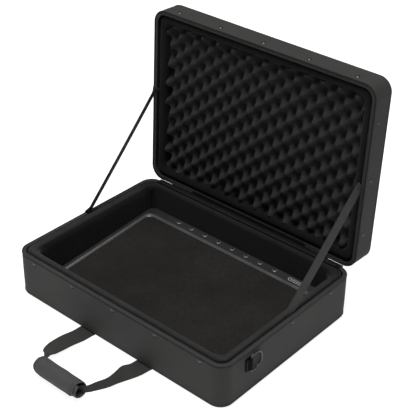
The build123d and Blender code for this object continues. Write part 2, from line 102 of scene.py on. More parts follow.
def islands(node):
    """Centres of the separate solids that make up a grouped node."""
    mesh = frame["nodes"][node].data
    points = cad_points(node)
    _, same = np.unique(np.round(points, 6), axis=0, return_inverse=True)
    same = same.ravel()
    owner = list(range(same.max() + 1))

    def root(i):
        while owner[i] != i:
            owner[i] = owner[owner[i]]
            i = owner[i]
        return i

    for edge in mesh.edges:
        owner[root(same[edge.vertices[0]])] = root(same[edge.vertices[1]])
    labels = np.array([root(i) for i in same])
    solids = [points[labels == label] for label in np.unique(labels)]
    return np.array([(p.min(0) + p.max(0)) / 2 for p in solids])


HALF_X, HALF_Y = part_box("base_cover")[1][:2]
BASE_RIM_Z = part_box("base_top_binding")[1].z
BASE_WALL_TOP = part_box("base_cover")[1].z
LID_RIM_Z = closed_box("lid_rim_binding")[0][2]
LID_WALL_LOW = closed_box("lid_cover")[0][2]
LID_TOP_Z = closed_box("lid_cover")[1][2]
CORNER_R = 28 * MM
INNER_CORNER_R = 16 * MM


# ---- meshes ----

def mesh_object(name, points, faces, uvs=None):
    """uvs, where given, are metres along the weave, one pair per face corner."""
    mesh = bpy.data.meshes.new(name)
    mesh.from_pydata([tuple(p) for p in points], [], faces)
    if uvs is not None:
        layer = mesh.uv_layers.new(name="weave")
        layer.data.foreach_set("uv", np.asarray(uvs, np.float32).ravel())
    mesh.shade_smooth()
    mesh.validate()
    made = bpy.data.objects.new(name, mesh)
    bpy.context.scene.collection.objects.link(made)
    return made


def sheet(name, grid, along, across, close_along=False, close_across=False, caps=False):
    """A quad surface through grid[i, j], with weave coordinates along[i] and across[j]."""
    rows, cols = grid.shape[:2]
    faces, uvs = [], []
    for i in range(rows if close_along else rows - 1):
        i2 = (i + 1) % rows
        for j in range(cols if close_across else cols - 1):
            j2 = (j + 1) % cols
            faces.append((i * cols + j, i2 * cols + j, i2 * cols + j2, i * cols + j2))
            uvs += [
                (along[i], across[j]),
                (along[i + 1], across[j]),
                (along[i + 1], across[j + 1]),
                (along[i], across[j + 1]),
            ]
    if caps:
        for i, order in ((0, 1), (rows - 1, -1)):
            faces.append(tuple(i * cols + j for j in range(cols))[::order])
            uvs += [(along[i], across[j]) for j in range(cols)][::order]
    return mesh_object(name, grid.reshape(-1, 3), faces, uvs)


def unit(vector):
    return vector / np.linalg.norm(vector)


def unit_rows(vectors):
    return vectors / np.linalg.norm(vectors, axis=1)[:, None]


def lengths_along(points):
    return np.concatenate([[0], np.cumsum(np.linalg.norm(np.diff(points, axis=0), axis=1))])


def running_length(points, closed=False):
    """Weave coordinates for sheet(): one more than there are points."""
    if closed:
        return lengths_along(np.vstack([points, points[:1]]))
    lengths = lengths_along(points)
    return np.append(lengths, lengths[-1])


def at_length(at, lengths, values):
    return np.array([np.interp(at, lengths, column) for column in values.T])


def copies(name, template, places):
    """One mesh of many copies of a small (points, faces) template, each at its (turn,
    origin) place."""
    base, faces = template
    points, all_faces = [], []
    for n, (turn, origin) in enumerate(places):
        points.append(base @ turn.T + origin)
        all_faces += [tuple(v + n * len(base) for v in face) for face in faces]
    return mesh_object(name, np.vstack(points), all_faces)


def capsule(steps=6, rings=(0.0, 0.55, 0.9, 1.0, 0.9, 0.55, 0.0)):
    """A unit capsule along X, one long and of unit radius."""
    points, faces = [(-0.5, 0, 0)], []
    inner = rings[1:-1]
    for i, radius in enumerate(inner):
        x = -0.5 + (i + 1) / (len(rings) - 1)
        x = math.copysign(min(0.5, abs(x) * 1.35), x)
        for k in range(steps):
            turn = 2 * math.pi * k / steps
            points.append((x, radius * math.cos(turn), radius * math.sin(turn)))
    points.append((0.5, 0, 0))
    last = len(points) - 1
    for k in range(steps):
        k2 = (k + 1) % steps
        faces.append((0, 1 + k2, 1 + k))
        for i in range(len(inner) - 1):
            a = 1 + i * steps
            faces.append((a + k, a + k2, a + steps + k2, a + steps + k))
        end = 1 + (len(inner) - 1) * steps
        faces.append((last, end + k, end + k2))
    return np.array(points), faces


CAPSULE = capsule()


def stitch_row(name, paths, pitch=3.4 * MM, length=2.7 * MM, radius=0.42 * MM):
    """Thread stitches sunk half into a surface along (points, normals) paths."""
    near = 0.1 * MM
    places = []
    for points, normals in paths:
        points, normals = np.asarray(points, float), np.asarray(normals, float)
        lengths = lengths_along(points)
        count = max(1, int(lengths[-1] / pitch))
        for at in (np.arange(count) + 0.5) * lengths[-1] / count:
            ahead = at_length(at + near, lengths, points)
            forward = unit(ahead - at_length(at - near, lengths, points))
            up = at_length(at, lengths, normals)
            up = unit(up - forward * (up @ forward))
            side = np.cross(up, forward)
            turn = np.column_stack([forward * length, side * radius, up * radius])
            places.append((turn, at_length(at, lengths, points)))
    return copies(name, CAPSULE, places)


def finish_piece(made, body, material, slot, *nodes, on_lid=False):
    """Gives a piece its material, its body and the CAD nodes it stands for. A piece drawn
    on the closed lid is turned open."""
    if on_lid:
        made.data.transform(OPENED)
    made.data.materials.clear()
    made.data.materials.append(material)
    if nodes:
        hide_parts(*nodes)
    if body:
        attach(made, body)
    return made


def sewn(name, paths, body, slot="webbing", on_lid=False, **size):
    """Stitches along paths, finished as thread."""
    return finish_piece(stitch_row(name, paths, **size), body, THREAD, slot, on_lid=on_lid)


# ---- the case's plan outline ----

class Rim:
    """The same stations round the case's plan at any inset, from the middle of the front
    left corner, anticlockwise seen from above."""

    def __init__(self, half_x, half_y, radius, least, step=4 * MM, arc=12):
        self.half = (half_x, half_y)
        self.radius, self.least, self.arc = radius, least, arc
        self.count_x = max(8, int(2 * (half_x - radius) / step))
        self.count_y = max(8, int(2 * (half_y - radius) / step))
        self.side_steps = (self.count_x + arc, self.count_y + arc)
        self.outer = self.at(0)
        self.lengths = running_length(self.outer, closed=True)

    def at(self, inset):
        radius = max(self.radius - inset, self.least)
        cx = self.half[0] - inset - radius
        cy = self.half[1] - inset - radius
        corners = [(-cx, -cy, 180), (cx, -cy, 270), (cx, cy, 0), (-cx, cy, 90)]
        points = []
        for side in range(4):
            x0, y0, start = corners[side]
            x1, y1, _ = corners[(side + 1) % 4]
            count = self.count_x if side % 2 == 0 else self.count_y
            half_arc = self.arc // 2
            turns = [45 * k / half_arc for k in range(half_arc)]
            points += [self.on_arc(x0, y0, radius, start + 45 + turn) for turn in turns]
            a = np.array(self.on_arc(x0, y0, radius, start + 90))
            b = np.array(self.on_arc(x1, y1, radius, start + 90))
            points += [tuple(a + (b - a) * k / count) for k in range(count)]
            points += [self.on_arc(x1, y1, radius, start + 90 + turn) for turn in turns]
        return np.array(points)

    @staticmethod
    def on_arc(cx, cy, radius, degrees):
        a = math.radians(degrees)
        return cx + radius * math.cos(a), cy + radius * math.sin(a)

    def normals(self):
        wide = self.at(0)
        ahead = np.roll(wide, -1, 0) - np.roll(wide, 1, 0)
        return unit_rows(np.column_stack([ahead[:, 1], -ahead[:, 0]]))

    def ring(self, inset, z):
        return np.column_stack([self.at(inset), np.full(len(self.outer), z)])

    def grid(self, profile):
        """Points (station, profile place) for a profile of (inset, z)."""
        return np.stack([self.ring(inset, z) for inset, z in profile], 1)

    def not_over_hinge(self, reach):
        """Station numbers of the run from the left back to the right back, round the front."""
        back = (self.outer[:, 1] > self.half[1] - MM) & (abs(self.outer[:, 0]) < reach)
        order = np.arange(len(back))
        kept = order[~back]
        first = kept[np.argmax(np.diff(np.append(kept, kept[0] + len(back))) > 1)]
        start = np.where(kept == first)[0][0] + 1
        return np.roll(kept, -start)


case = Rim(HALF_X, HALF_Y, CORNER_R, INNER_CORNER_R)


def ring_sheet(name, rim, profile, shift=None):
    """A closed ring of a closed profile round the case."""
    grid = rim.grid(profile)
    if shift is not None:
        grid = shift(grid)
    return sheet(name, grid, rim.lengths, running_length(np.array(profile), True), True, True)


def run_sheet(name, rim, profile, reach):
    """The same, left open over the hinge."""
    grid = rim.grid(profile)[rim.not_over_hinge(reach)]
    along, across = running_length(grid[:, 0]), running_length(np.array(profile), True)
    return sheet(name, grid, along, across, False, True, caps=True)


def rounded(x0, x1, z0, z1, radii, steps=3):
    """A closed profile: a rectangle with round corners, their radii at z0 and at z1."""
    corners = [(x1, z0, -90), (x1, z1, 0), (x0, z1, 90), (x0, z0, 180)]
    points = []
    for x, z, start in corners:
        radius = radii[1] if z == z1 else radii[0]
        cx = x - radius if x == x1 else x + radius
        cz = z - radius if z == z1 else z + radius
        for k in range(steps + 1):
            a = math.radians(start + 90 * k / steps)
            points.append((cx + radius * math.cos(a), cz + radius * math.sin(a)))
    return points


def coons(ring, steps_x, steps_y):
    """A quad grid over the flat area inside a ring of stations."""
    front = ring[: steps_x + 1]
    right = ring[steps_x : steps_x + steps_y + 1]
    back = ring[steps_x + steps_y : 2 * steps_x + steps_y + 1][::-1]
    left = np.vstack([ring[2 * steps_x + steps_y :], ring[:1]])[::-1]
    u = np.linspace(0, 1, steps_x + 1)[:, None, None]
    v = np.linspace(0, 1, steps_y + 1)[None, :, None]
    blend_y = (1 - v) * front[:, None] + v * back[:, None]
    blend_x = (1 - u) * left[None] + u * right[None]
    corner = (
        (1 - u) * (1 - v) * front[0]
        + u * (1 - v) * front[-1]
        + (1 - u) * v * back[0]
        + u * v * back[-1]
    )
    return blend_y + blend_x - corner


def wobble(points, size, scale, seed=0.0):
    """Smooth noise, one value per point, for cloth that never lies quite flat."""
    shift = Vector((seed, 0, 0))
    return np.array([size * noise.noise(Vector(p) / scale + shift) for p in points])


NO_PINS = np.array([[9.0, 9.0, 9.0]])
DIMPLE_R = 13 * MM
PANEL_EDGE, PANEL_RISE = 5 * MM, 16 * MM
CLOTH_T = 1.8 * MM


def skin(name, rim, walls, crown, pins, puff):
    """Fabric over a board: walls from the rim to the panel, then the panel itself.
    It swells a little between the rivets that pin it, and the panel crowns by crown."""
    grid = rim.grid(walls)
    normals = np.column_stack([rim.normals(), np.zeros(len(rim.outer))])
    heights = grid[0, :, 2]
    low, high = heights.min(), heights.max()
    for j in range(1, len(walls) - 4):
        level = math.sin(math.pi * (heights[j] - low) / (high - low)) ** 0.6
        near = np.min(np.linalg.norm(grid[:, j, None, :] - pins[None], axis=2), axis=1)
        swell = puff * level * (1 - np.exp(-((near / DIMPLE_R) ** 2)))
        swell += level * wobble(grid[:, j], 0.35 * MM, 55 * MM)
        grid[:, j] += normals * swell[:, None]
    rows, cols = grid.shape[:2]
    steps_x, steps_y = rim.side_steps
    flat = coons(grid[:, -1], steps_x, steps_y)
    edge = np.minimum(rim.half[0] - abs(flat[..., 0]), rim.half[1] - abs(flat[..., 1]))
    rise = 1 - np.exp(-np.maximum(edge - PANEL_EDGE, 0) / PANEL_RISE)
    flat[..., 2] += crown * rise
    points = list(grid.reshape(-1, 3))
    number = np.full((steps_x + 1, steps_y + 1), -1)
    ring = [i * cols + cols - 1 for i in range(rows)] + [cols - 1]
    number[:, 0] = ring[: steps_x + 1]
    number[-1, :] = ring[steps_x : steps_x + steps_y + 1]
    number[:, -1] = ring[steps_x + steps_y : 2 * steps_x + steps_y + 1][::-1]
    number[0, :] = ring[2 * steps_x + steps_y :][::-1]
    for i in range(1, steps_x):
        for j in range(1, steps_y):
            number[i, j] = len(points)
            points.append(flat[i, j])
    faces, uvs = [], []
    across = running_length(np.array(walls))
    for i in range(rows):
        i2 = (i + 1) % rows
        for j in range(cols - 1):
            faces.append((i * cols + j, i * cols + j + 1, i2 * cols + j + 1, i2 * cols + j))
            a0, a1 = rim.lengths[i], rim.lengths[i + 1]
            uvs += [(a0, across[j]), (a0, across[j + 1]), (a1, across[j + 1]), (a1, across[j])]
    for i in range(steps_x):
        for j in range(steps_y):
            corners = [(i, j), (i, j + 1), (i + 1, j + 1), (i + 1, j)]
            faces.append(tuple(int(number[c]) for c in corners))
            uvs += [tuple(flat[c][:2]) for c in corners]
    made = mesh_object(name, points, faces, uvs)
    thick = made.modifiers.new("cloth", "SOLIDIFY")
    thick.thickness = CLOTH_T
    thick.offset = -1 if walls[0][1] > walls[-1][1] else 1
    return made


# ---- materials ----

class Finish:
    """A Principled material and short ways to add nodes to it."""

    def __init__(self, name, colour, roughness, **settings):
        self.material = bpy.data.materials.new(name)
        self.material.use_nodes = True
        self.tree = self.material.node_tree
        self.shader = self.tree.nodes["Principled BSDF"]
        self.colour = colour
        self.set("Base Color", (*colour, 1))
        self.set("Roughness", roughness)
        for key, value in settings.items():
            self.set(key.replace("_", " "), value)

    def set(self, key, value):
        if isinstance(value, bpy.types.NodeSocket):
            self.tree.links.new(value, self.shader.inputs[key])
        else:
            self.shader.inputs[key].default_value = value

    def node(self, kind, inputs=(), output=0, **settings):
        made = self.tree.nodes.new("ShaderNode" + kind)
        for key, value in settings.items():
            setattr(made, key, value)
        pairs = inputs.items() if isinstance(inputs, dict) else enumerate(inputs)
        for key, value in pairs:
            if isinstance(value, bpy.types.NodeSocket):
                self.tree.links.new(value, made.inputs[key])
            else:
                made.inputs[key].default_value = value
        return made.outputs[output]

    def math(self, operation, *values, clamp=False):
        return self.node("Math", values, operation=operation, use_clamp=clamp)

    def place(self, uv=False):
        return self.node("TexCoord", output="UV" if uv else "Object")

    def noise(self, scale, detail=3.0, place=None, stretch=None):
        place = place or self.place()
        if stretch:
            place = self.node("Mapping", {"Vector": place, "Scale": stretch})
        return self.node("TexNoise", {"Vector": place, "Scale": scale, "Detail": detail})

    def cells(self, scale, **settings):
        return self.node("TexVoronoi", {"Vector": self.place(), "Scale": scale}, **settings)

    def spread(self, value, low, high, from_low=0.0, from_high=1.0):
        return self.node("MapRange", (value, from_low, from_high, low, high))

    def tint(self, value, dark=0.7, light=1.3):
        """Base colour scaled between dark and light by a 0 to 1 value."""
        low = tuple(c * dark for c in self.colour) + (1,)
        high = tuple(c * light for c in self.colour) + (1,)
        mixed = self.node("Mix", {0: value, 6: low, 7: high}, output=2, data_type="RGBA")
        self.set("Base Color", mixed)

    def shade(self, value):
        """Base colour, already tinted, multiplied by a value."""
        before = self.shader.inputs["Base Color"].links[0].from_socket
        mixed = self.node(
            "Mix", {0: 1.0, 6: before, 7: value}, output=2, data_type="RGBA",
            blend_type="MULTIPLY",
        )
        self.set("Base Color", mixed)

    def part(self, vector, axis):
        return self.node("SeparateXYZ", (vector,), axis)

    def bump(self, height, depth, strength=1.0):
        before = self.shader.inputs["Normal"]
        inputs = {"Strength": strength, "Distance": depth, "Height": height}
        if before.is_linked:
            inputs["Normal"] = before.links[0].from_socket
        self.set("Normal", self.node("Bump", inputs))

    def weave(self, pitch_u, pitch_v):
        """Height of a plain weave in UV metres: threads crossing over and under."""
        place = self.place(uv=True)
        u = self.math("SINE", self.math("MULTIPLY", self.part(place, 0), math.pi / pitch_u))
        v = self.math("SINE", self.math("MULTIPLY", self.part(place, 1), math.pi / pitch_v))
        over = self.math("MULTIPLY", self.math("MULTIPLY", u, v), 3.0)
        over = self.math("MULTIPLY_ADD", over, 0.5, 0.5, clamp=True)
        warp = self.math("MULTIPLY", self.math("ABSOLUTE", u), over)
        under = self.math("SUBTRACT", 1.0, over)
        weft = self.math("MULTIPLY", self.math("ABSOLUTE", v), under)
        return self.math("MAXIMUM", warp, weft)

    def pile(self, fine, coarse, weight, patches, tones, depths):
        """Fine texture over coarse, as colour and as height. patches, where given, is a
        slow texture and how dark and light it makes the cloth."""
        value = self.math("MULTIPLY", self.math("ADD", fine, coarse), weight)
        if patches:
            slow, dark, light = patches
            value = self.math("MULTIPLY", value, self.spread(slow, dark, light, 0.3, 0.7))
        self.tint(value, *tones)
        self.bump(fine, depths[0])
        self.bump(coarse, *depths[1:])


def woven(name, colour, roughness, thread, sheen=0.0, specular=0.5, lit_span=None):
    """Nylon weave: threads, slubs along both ways, slow shade changes and scuffs. thread is
    the threads' pitch along u and v and their depth, in mm. Outside the stretch of UV v
    given by the last argument the cloth is painted dark, as painted shade."""
    pitch_u, pitch_v, depth = (size * MM for size in thread)
    made = Finish(name, colour, roughness, Sheen_Weight=sheen, Specular_IOR_Level=specular)
    weave = made.weave(pitch_u, pitch_v)
    uv = made.place(uv=True)
    slub_u = made.noise(1.0, 2.0, uv, (60, 1 / pitch_v, 1))
    slub_v = made.noise(1.0, 2.0, uv, (1 / pitch_u, 60, 1))
    slubs = made.math("MULTIPLY", made.math("ADD", slub_u, slub_v), 0.5)
    slow = made.noise(9.0, 4.0)
    scuffs = made.math("MULTIPLY", slubs, slow)
    # The tone follows the weave's height: the valleys between threads are painted darker, as
    # painted shade, under the random slubs and slow tone changes.
    made.tint(made.math("MULTIPLY_ADD", weave, 0.45, scuffs), 0.45, 1.55)
    # Painted shade: outside the given stretch of UV v the colour is multiplied down to 0.3, with a
    # short fade at each end.
    if lit_span:
        across, fade = made.part(uv, 1), 0.5 * MM
        starts = made.spread(across, 0.3, 1.0, lit_span[0], lit_span[0] + fade)
        ends = made.spread(across, 1.0, 0.3, lit_span[1], lit_span[1] + fade)
        made.shade(made.math("MINIMUM", starts, ends))
    made.bump(weave, depth)
    made.bump(slow, 0.6 * MM, 0.25)
    rough = made.spread(slubs, roughness - 0.1, min(1.0, roughness + 0.12), 0.3, 0.7)
    made.set("Roughness", rough)
    return made.material


# Painted light on the base lining: how much paler its rim's top is painted and the heights over
# which that fades in, then where towards the back painted shade darkens it and how far.
CROWN_PAINTED_LIGHT = 2.8
CROWN_PAINTED_LIGHT_FADE = (7 * MM, 2.5 * MM)
BACK_FROM, BACK_TO, BACK_PAINTED_SHADE = 0.13, 0.17, 0.5


def plush(name, colour, sheen, crown=None):
    """Short brushed pile: fine fibre noise, brushed patches and a soft edge sheen. Above the
    height given by crown the pile is painted paler, a painted highlight on the rim's top,
    and towards the back it is painted darker, painted shade from the standing lid."""
    made = Finish(
        name, colour, 0.95, Sheen_Weight=sheen, Sheen_Roughness=0.45, Specular_IOR_Level=0.12
    )
    fibres, tufts = made.noise(900.0, 4.0), made.noise(170.0, 3.0)
    brushed = (made.noise(14.0, 4.0), 0.7, 1.3)
    made.pile(fibres, tufts, 0.5, brushed, (0.4, 1.7), (0.5 * MM, 0.9 * MM, 0.6))
    if crown:
        height, depth = made.part(made.place(), 2), made.part(made.place(), 1)
        # Painted highlight: the pile is painted paler above the crown height, where the rim's top
        # faces the light.
        wear_and_painted_light = made.spread(height, 1.0, CROWN_PAINTED_LIGHT, *(crown - fade for fade in CROWN_PAINTED_LIGHT_FADE))
        # Painted shade: the pile is painted darker towards the back, where the standing lid shades
        # it.
        back = made.spread(depth, 1.0, BACK_PAINTED_SHADE, BACK_FROM, BACK_TO)
        made.shade(made.math("MULTIPLY", wear_and_painted_light, back))
    return made.material


def foam_finish():
    """Open-cell foam: pinholes over fine grain."""
    made = Finish("open_cell_foam", (0.032, 0.032, 0.033), 0.9, Specular_IOR_Level=0.15)
    pores, grain = made.cells(620.0), made.noise(260.0, 4.0)
    made.pile(pores, grain, 0.6, None, (0.45, 1.6), (0.5 * MM, 0.6 * MM, 0.5))
    return made.material


def carpet_finish():
    """Loop carpet: small loops in a warm black, paler and darker in slow patches."""
    made = Finish(
        "loop_carpet", (0.018, 0.0169, 0.015), 0.95, Sheen_Weight=0.08,
        Specular_IOR_Level=0.1,
    )
    loops, tufts = made.cells(430.0), made.noise(120.0, 4.0)
    patches = (made.noise(11.0, 4.0), 0.65, 1.35)
    made.pile(loops, tufts, 0.6, patches, (0.45, 1.6), (0.7 * MM, 0.7 * MM, 0.6))
    return made.material


def grained(name, colour, roughness, grain_scale=900.0, depth=0.12 * MM, wear=0.12):
    """Moulded plastic or paint: fine grain, slow gloss changes and rubbed edges."""
    made = Finish(name, colour, roughness)
    grain = made.cells(grain_scale)
    slow = made.noise(18.0, 4.0)
    edge = made.node("NewGeometry", output="Pointiness")
    wear_and_painted_light = made.spread(edge, 0.0, 1.0, 0.52, 0.6)
    value = made.math("ADD", made.math("MULTIPLY", slow, 0.8), made.math("MULTIPLY", wear_and_painted_light, 0.8))
    made.tint(value, 1 - 3 * wear, 1 + 3 * wear)
    made.bump(grain, depth, 0.6)
    made.set("Roughness", made.spread(slow, roughness - 0.08, roughness + 0.08, 0.3, 0.7))
    return made.material


def metal(name, colour, roughness):
    """Plated metal: fine hairline scratches and slightly uneven polish."""
    made = Finish(name, colour, roughness, Metallic=1.0)
    hair = made.noise(700.0, 3.0, stretch=(1, 0.15, 1))
    slow = made.noise(60.0, 4.0)
    made.tint(slow, 0.82, 1.12)
    made.bump(hair, 0.03 * MM, 0.12)
    made.set("Roughness", made.spread(hair, roughness - 0.05, roughness + 0.1, 0.3, 0.7))
    return made.material


def rivet_finish():
    """Dark plated domes, painted by which way they face: painted shade below, a painted highlight
    just above the middle, duller again on top.
    """
    made = Finish("rivet_plating", (0.2, 0.2, 0.2), 0.42, Metallic=1.0)
    upward = made.part(made.node("NewGeometry", output="Normal"), 2)
    # Painted light: dark where the dome faces down, brightest where it faces a little upwards,
    # dimmer again where it faces straight up.
    rivet_painted_light = made.math("MULTIPLY", made.spread(upward, 0.0, 1.0, -0.25, 0.3),
                     made.spread(upward, 1.0, 0.2, 0.5, 0.85))
    made.tint(made.math("MULTIPLY", rivet_painted_light, made.spread(made.noise(60.0), 0.8, 1.0)), 0.1, 1.1)
    made.bump(made.noise(700.0, 3.0), 0.03 * MM, 0.12)
    return made.material


def jack_finish():
    """Bright bushes over dark nuts: the nuts are what lies close to the sloping deck."""
    made = Finish("jack_plating", (0.92, 0.92, 0.9), 0.3, Metallic=1.0)
    points = cad_points("board_carpet")
    slope, rise = np.polyfit(points[:, 1], points[:, 2], 1)
    deck = made.math("MULTIPLY", made.part(made.place(), 1), slope)
    above = made.math("SUBTRACT", made.part(made.place(), 2), deck)
    nut = made.spread(above, 0.03, 1.0, rise + NUT_TOP, rise + NUT_TOP + 0.2 * MM)
    slow = made.noise(90.0, 3.0)
    made.tint(made.math("MULTIPLY", nut, made.spread(slow, 0.8, 1.0)), 0.0, 1.1)
    made.bump(made.noise(700.0, 3.0), 0.03 * MM, 0.3)
    return made.material


def badge_finish():
    """A polished plate: a bright rim, a dark field and a plain raised bar, no letters."""
    made = Finish("polished_badge", (0.5, 0.5, 0.5), 0.35, Metallic=0.3)
    low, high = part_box("badge_plate")
    span = [2 / (b - a) for a, b in zip(low, high)]
    start = [-(a + b) / (b - a) for a, b in zip(low, high)]
    place = made.node("Mapping", {"Vector": made.place(), "Location": start, "Scale": span})
    across = made.math("ABSOLUTE", made.part(place, 0))
    up = made.math("ABSOLUTE", made.part(place, 1))
    cushion = made.math("ADD", made.math("POWER", across, 6.0), made.math("POWER", up, 3.0))
    rim = made.spread(cushion, 0.0, 1.0, 0.42, 0.5)
    bar = made.math("MAXIMUM", made.math("MULTIPLY", across, 0.3), up)
    raised = made.math("MAXIMUM", rim, made.spread(bar, 1.0, 0.0, 0.18, 0.24))
    raised = made.math("MULTIPLY", raised, made.spread(made.noise(220.0, 2.0), 0.75, 1.0))
    made.tint(raised, 0.08, 1.2)
    made.bump(raised, 0.5 * MM, 0.8)
    return made.material


def coil_finish():
    """Zip monofilament, glossy, with a crease at every turn."""
    made = Finish("zip_monofilament", (0.035, 0.035, 0.035), 0.32)
    slow = made.noise(300.0, 2.0)
    made.tint(slow, 0.6, 1.5)
    made.bump(slow, 0.15 * MM, 0.4)
    return made.material


def laminate_finish():
    made = Finish("green_laminate", (0.012, 0.10, 0.035), 0.35)
    glass = made.cells(500.0, feature="DISTANCE_TO_EDGE")
    made.tint(glass, 0.7, 1.25)
    made.bump(glass, 0.05 * MM, 0.4)
    return made.material


def grey(level):
    return (level, level, level)


NYLON = woven("woven_nylon", (0.048, 0.048, 0.046), 0.62, (0.75, 0.75, 0.16), 0.05, 0.3)
# The lid's nylon: the case's nylon painted a little darker, as painted shade on the lid's upturned
# faces.
LID_NYLON_PAINTED_SHADE = woven("lid_nylon_with_painted_shade", (0.041, 0.041, 0.039), 0.62, (0.75, 0.75, 0.16), 0.04, 0.3)
BINDING_COLOUR, BINDING_THREAD = (0.045, 0.045, 0.044), (0.9, 0.6, 0.22)
BINDING = woven("ribbed_binding", BINDING_COLOUR, 0.66, BINDING_THREAD, 0.06, 0.3)
# The hinge cloth: the tape's cloth painted near black, as painted shade in the gap between base
# and lid.
HINGE_CLOTH_PAINTED_SHADE = woven("hinge_cloth_with_painted_shade", grey(0.012), 0.85, (0.6, 0.6, 0.14), 0.0, 0.12)
# The zip tape's mid grey: partly its own tone, partly painted light, paler to fill the shade
# between binding and lining.
TAPE = woven("zip_tape_weave", (0.055, 0.055, 0.054), 0.8, (0.6, 0.6, 0.14), 0.04, 0.2)
WEBBING = woven("flat_webbing", (0.038, 0.038, 0.035), 0.68, (1.5, 1.9, 0.35), 0.15, 0.35)
# The D-ring tabs: webbing painted near black, as painted shade beside the rings.
TAB_PAINTED_SHADE = woven("ring_tab_webbing_with_painted_shade", grey(0.005), 0.7, (1.3, 1.6, 0.3), 0.0, 0.1)
GRIP = woven("grip_cloth", (0.07, 0.071, 0.069), 0.6, (0.9, 0.9, 0.2), 0.15, 0.4)
THREAD = woven("twisted_thread", grey(0.075), 0.55, (0.5, 0.5, 0.05), 0.0, 0.4)
PLUSH = plush("brushed_lining", (0.012, 0.012, 0.0118), 0.16)
# The lid's lining: the same pile painted a little darker, as painted shade, with less sheen.
LID_PLUSH_PAINTED_SHADE = plush("lid_lining_with_painted_shade", (0.010, 0.010, 0.0098), 0.08)
FOAM = foam_finish()
CARPET = carpet_finish()
COIL = coil_finish()
TRAY = grained("moulded_tray", (0.027, 0.027, 0.028), 0.36, 1100.0, 0.1 * MM, 0.08)
# The tray's lip: the tray's plastic painted paler, as a painted highlight along the lip.
TRAY_LIP_PAINTED_HIGHLIGHT = grained("tray_lip_with_painted_highlight", (0.09, 0.09, 0.092), 0.3, 1100.0, 0.05 * MM)
BOARD = grained("sheet_board", grey(0.016), 0.8, 300.0, 0.2 * MM)
SOCKET = grained("socket_plastic", grey(0.02), 0.35)
RUBBER = grained("moulded_rubber", grey(0.03), 0.8, 500.0, 0.2 * MM)
BLACK_METAL = metal("black_plating", grey(0.16), 0.3)
NUT_TOP = 0.2 * MM
JACK = jack_finish()
RING_METAL = metal("ring_plating", grey(0.13), 0.3)
RIVET_PLATING = rivet_finish()
NICKEL = metal("nickel_plating", (0.74, 0.73, 0.7), 0.22)
BADGE = badge_finish()
LAMINATE = laminate_finish()

CAD_FINISH = (
    (BOARD, "base_wall_board base_floor_board lid_wall_board lid_top_board board_bottom_plate"),
    (RIVET_PLATING, "base_rivets lid_rivets"),
    (RING_METAL, "d_ring_left d_ring_right"),
    (BLACK_METAL, "zip_slider_left zip_slider_right zip_pull_left zip_pull_right board_screws"),
    (SOCKET, "jack_housings power_inlet"),
    (TRAY, "board_tray"),
    (RUBBER, "board_feet"),
    (JACK, "jack_bushes"),
    (NICKEL, "jack_pins"),
    (LAMINATE, "board_circuit"),
    (BADGE, "badge_plate"),
)
for material, nodes in CAD_FINISH:
    for node in nodes.split():
        mesh = frame["nodes"][node].data
        mesh.materials.clear()
        mesh.materials.append(material)


# ---- outer skins, bindings, piping, zip ----

def wall_profile(z_rim, z_end, radius, steps=22):
    """From the rim down (or up) the wall and round the edge onto the panel."""
    away = 1 if z_end > z_rim else -1
    turn_z = z_end - away * radius
    straight = [(0.0, z_rim + (turn_z - z_rim) * k / steps) for k in range(steps + 1)]
    arc = []
    for k in range(1, 6):
        a = math.radians(90 * k / 5)
        arc.append((radius * (1 - math.cos(a)), turn_z + away * radius * math.sin(a)))
    return straight + arc


base_rivets = islands("base_rivets")
lid_rivets = moved(islands("lid_rivets"), OPENED.inverted())

PUFF = 0.5 * MM

walls = wall_profile(BASE_WALL_TOP, 0.3 * MM, 4 * MM)
base_skin = skin("base_skin", case, walls, 0.0, base_rivets, PUFF)
finish_piece(base_skin, "base", NYLON, "shell_nylon", "base_cover")
walls = wall_profile(LID_WALL_LOW, LID_TOP_Z - 0.4 * MM, 5 * MM)
lid_skin = skin("lid_skin", case, walls, 0.3 * MM, lid_rivets, PUFF)
finish_piece(lid_skin, "lid", LID_NYLON_PAINTED_SHADE, "shell_nylon", "lid_cover", on_lid=True)


def soft_edge(seed):
    """A slight wander for sewn edges."""

    def shift(grid):
        flat = grid.reshape(-1, 3)
        flat[:, 2] += wobble(flat, 0.25 * MM, 40 * MM, seed)
        return flat.reshape(grid.shape)

    return shift


def rim_path(inset, z):
    """A closed stitch path round the case, its normal outwards."""
    ring = case.ring(inset, z)
    normals = np.column_stack([case.normals(), np.zeros(len(ring))])
    return np.vstack([ring, ring[:1]]), np.vstack([normals, normals[:1]])


def zip_path(inset, z, up):
    """A stitch path along the zip, its normal up or down."""
    ring = case.ring(inset, z)[case.not_over_hinge(ZIP_REACH)]
    return ring, np.tile((0.0, 0.0, up), (len(ring), 1))


BINDING_OUT, BINDING_IN, BINDING_R = -0.5 * MM, 2.3 * MM, 1.1 * MM
BINDING_SEAM_DROP = 0.35 * MM
ZIP_REACH = 0.230
TAPE_OUT, TAPE_IN, TAPE_R = 2.4 * MM, 8.4 * MM, 0.25 * MM
TAPE_SEAM, TAPE_DROP, TAPE_T = 4.1 * MM, 1.4 * MM, 0.7 * MM
TAPE_STITCH = {"length": 2.9 * MM, "radius": 0.4 * MM}
COIL_MID = 7.4 * MM
COIL_DROP, COIL_PITCH = 0.68 * MM, 2.1 * MM
TOOTH = np.array([1.7, 0.8, 0.66]) * MM


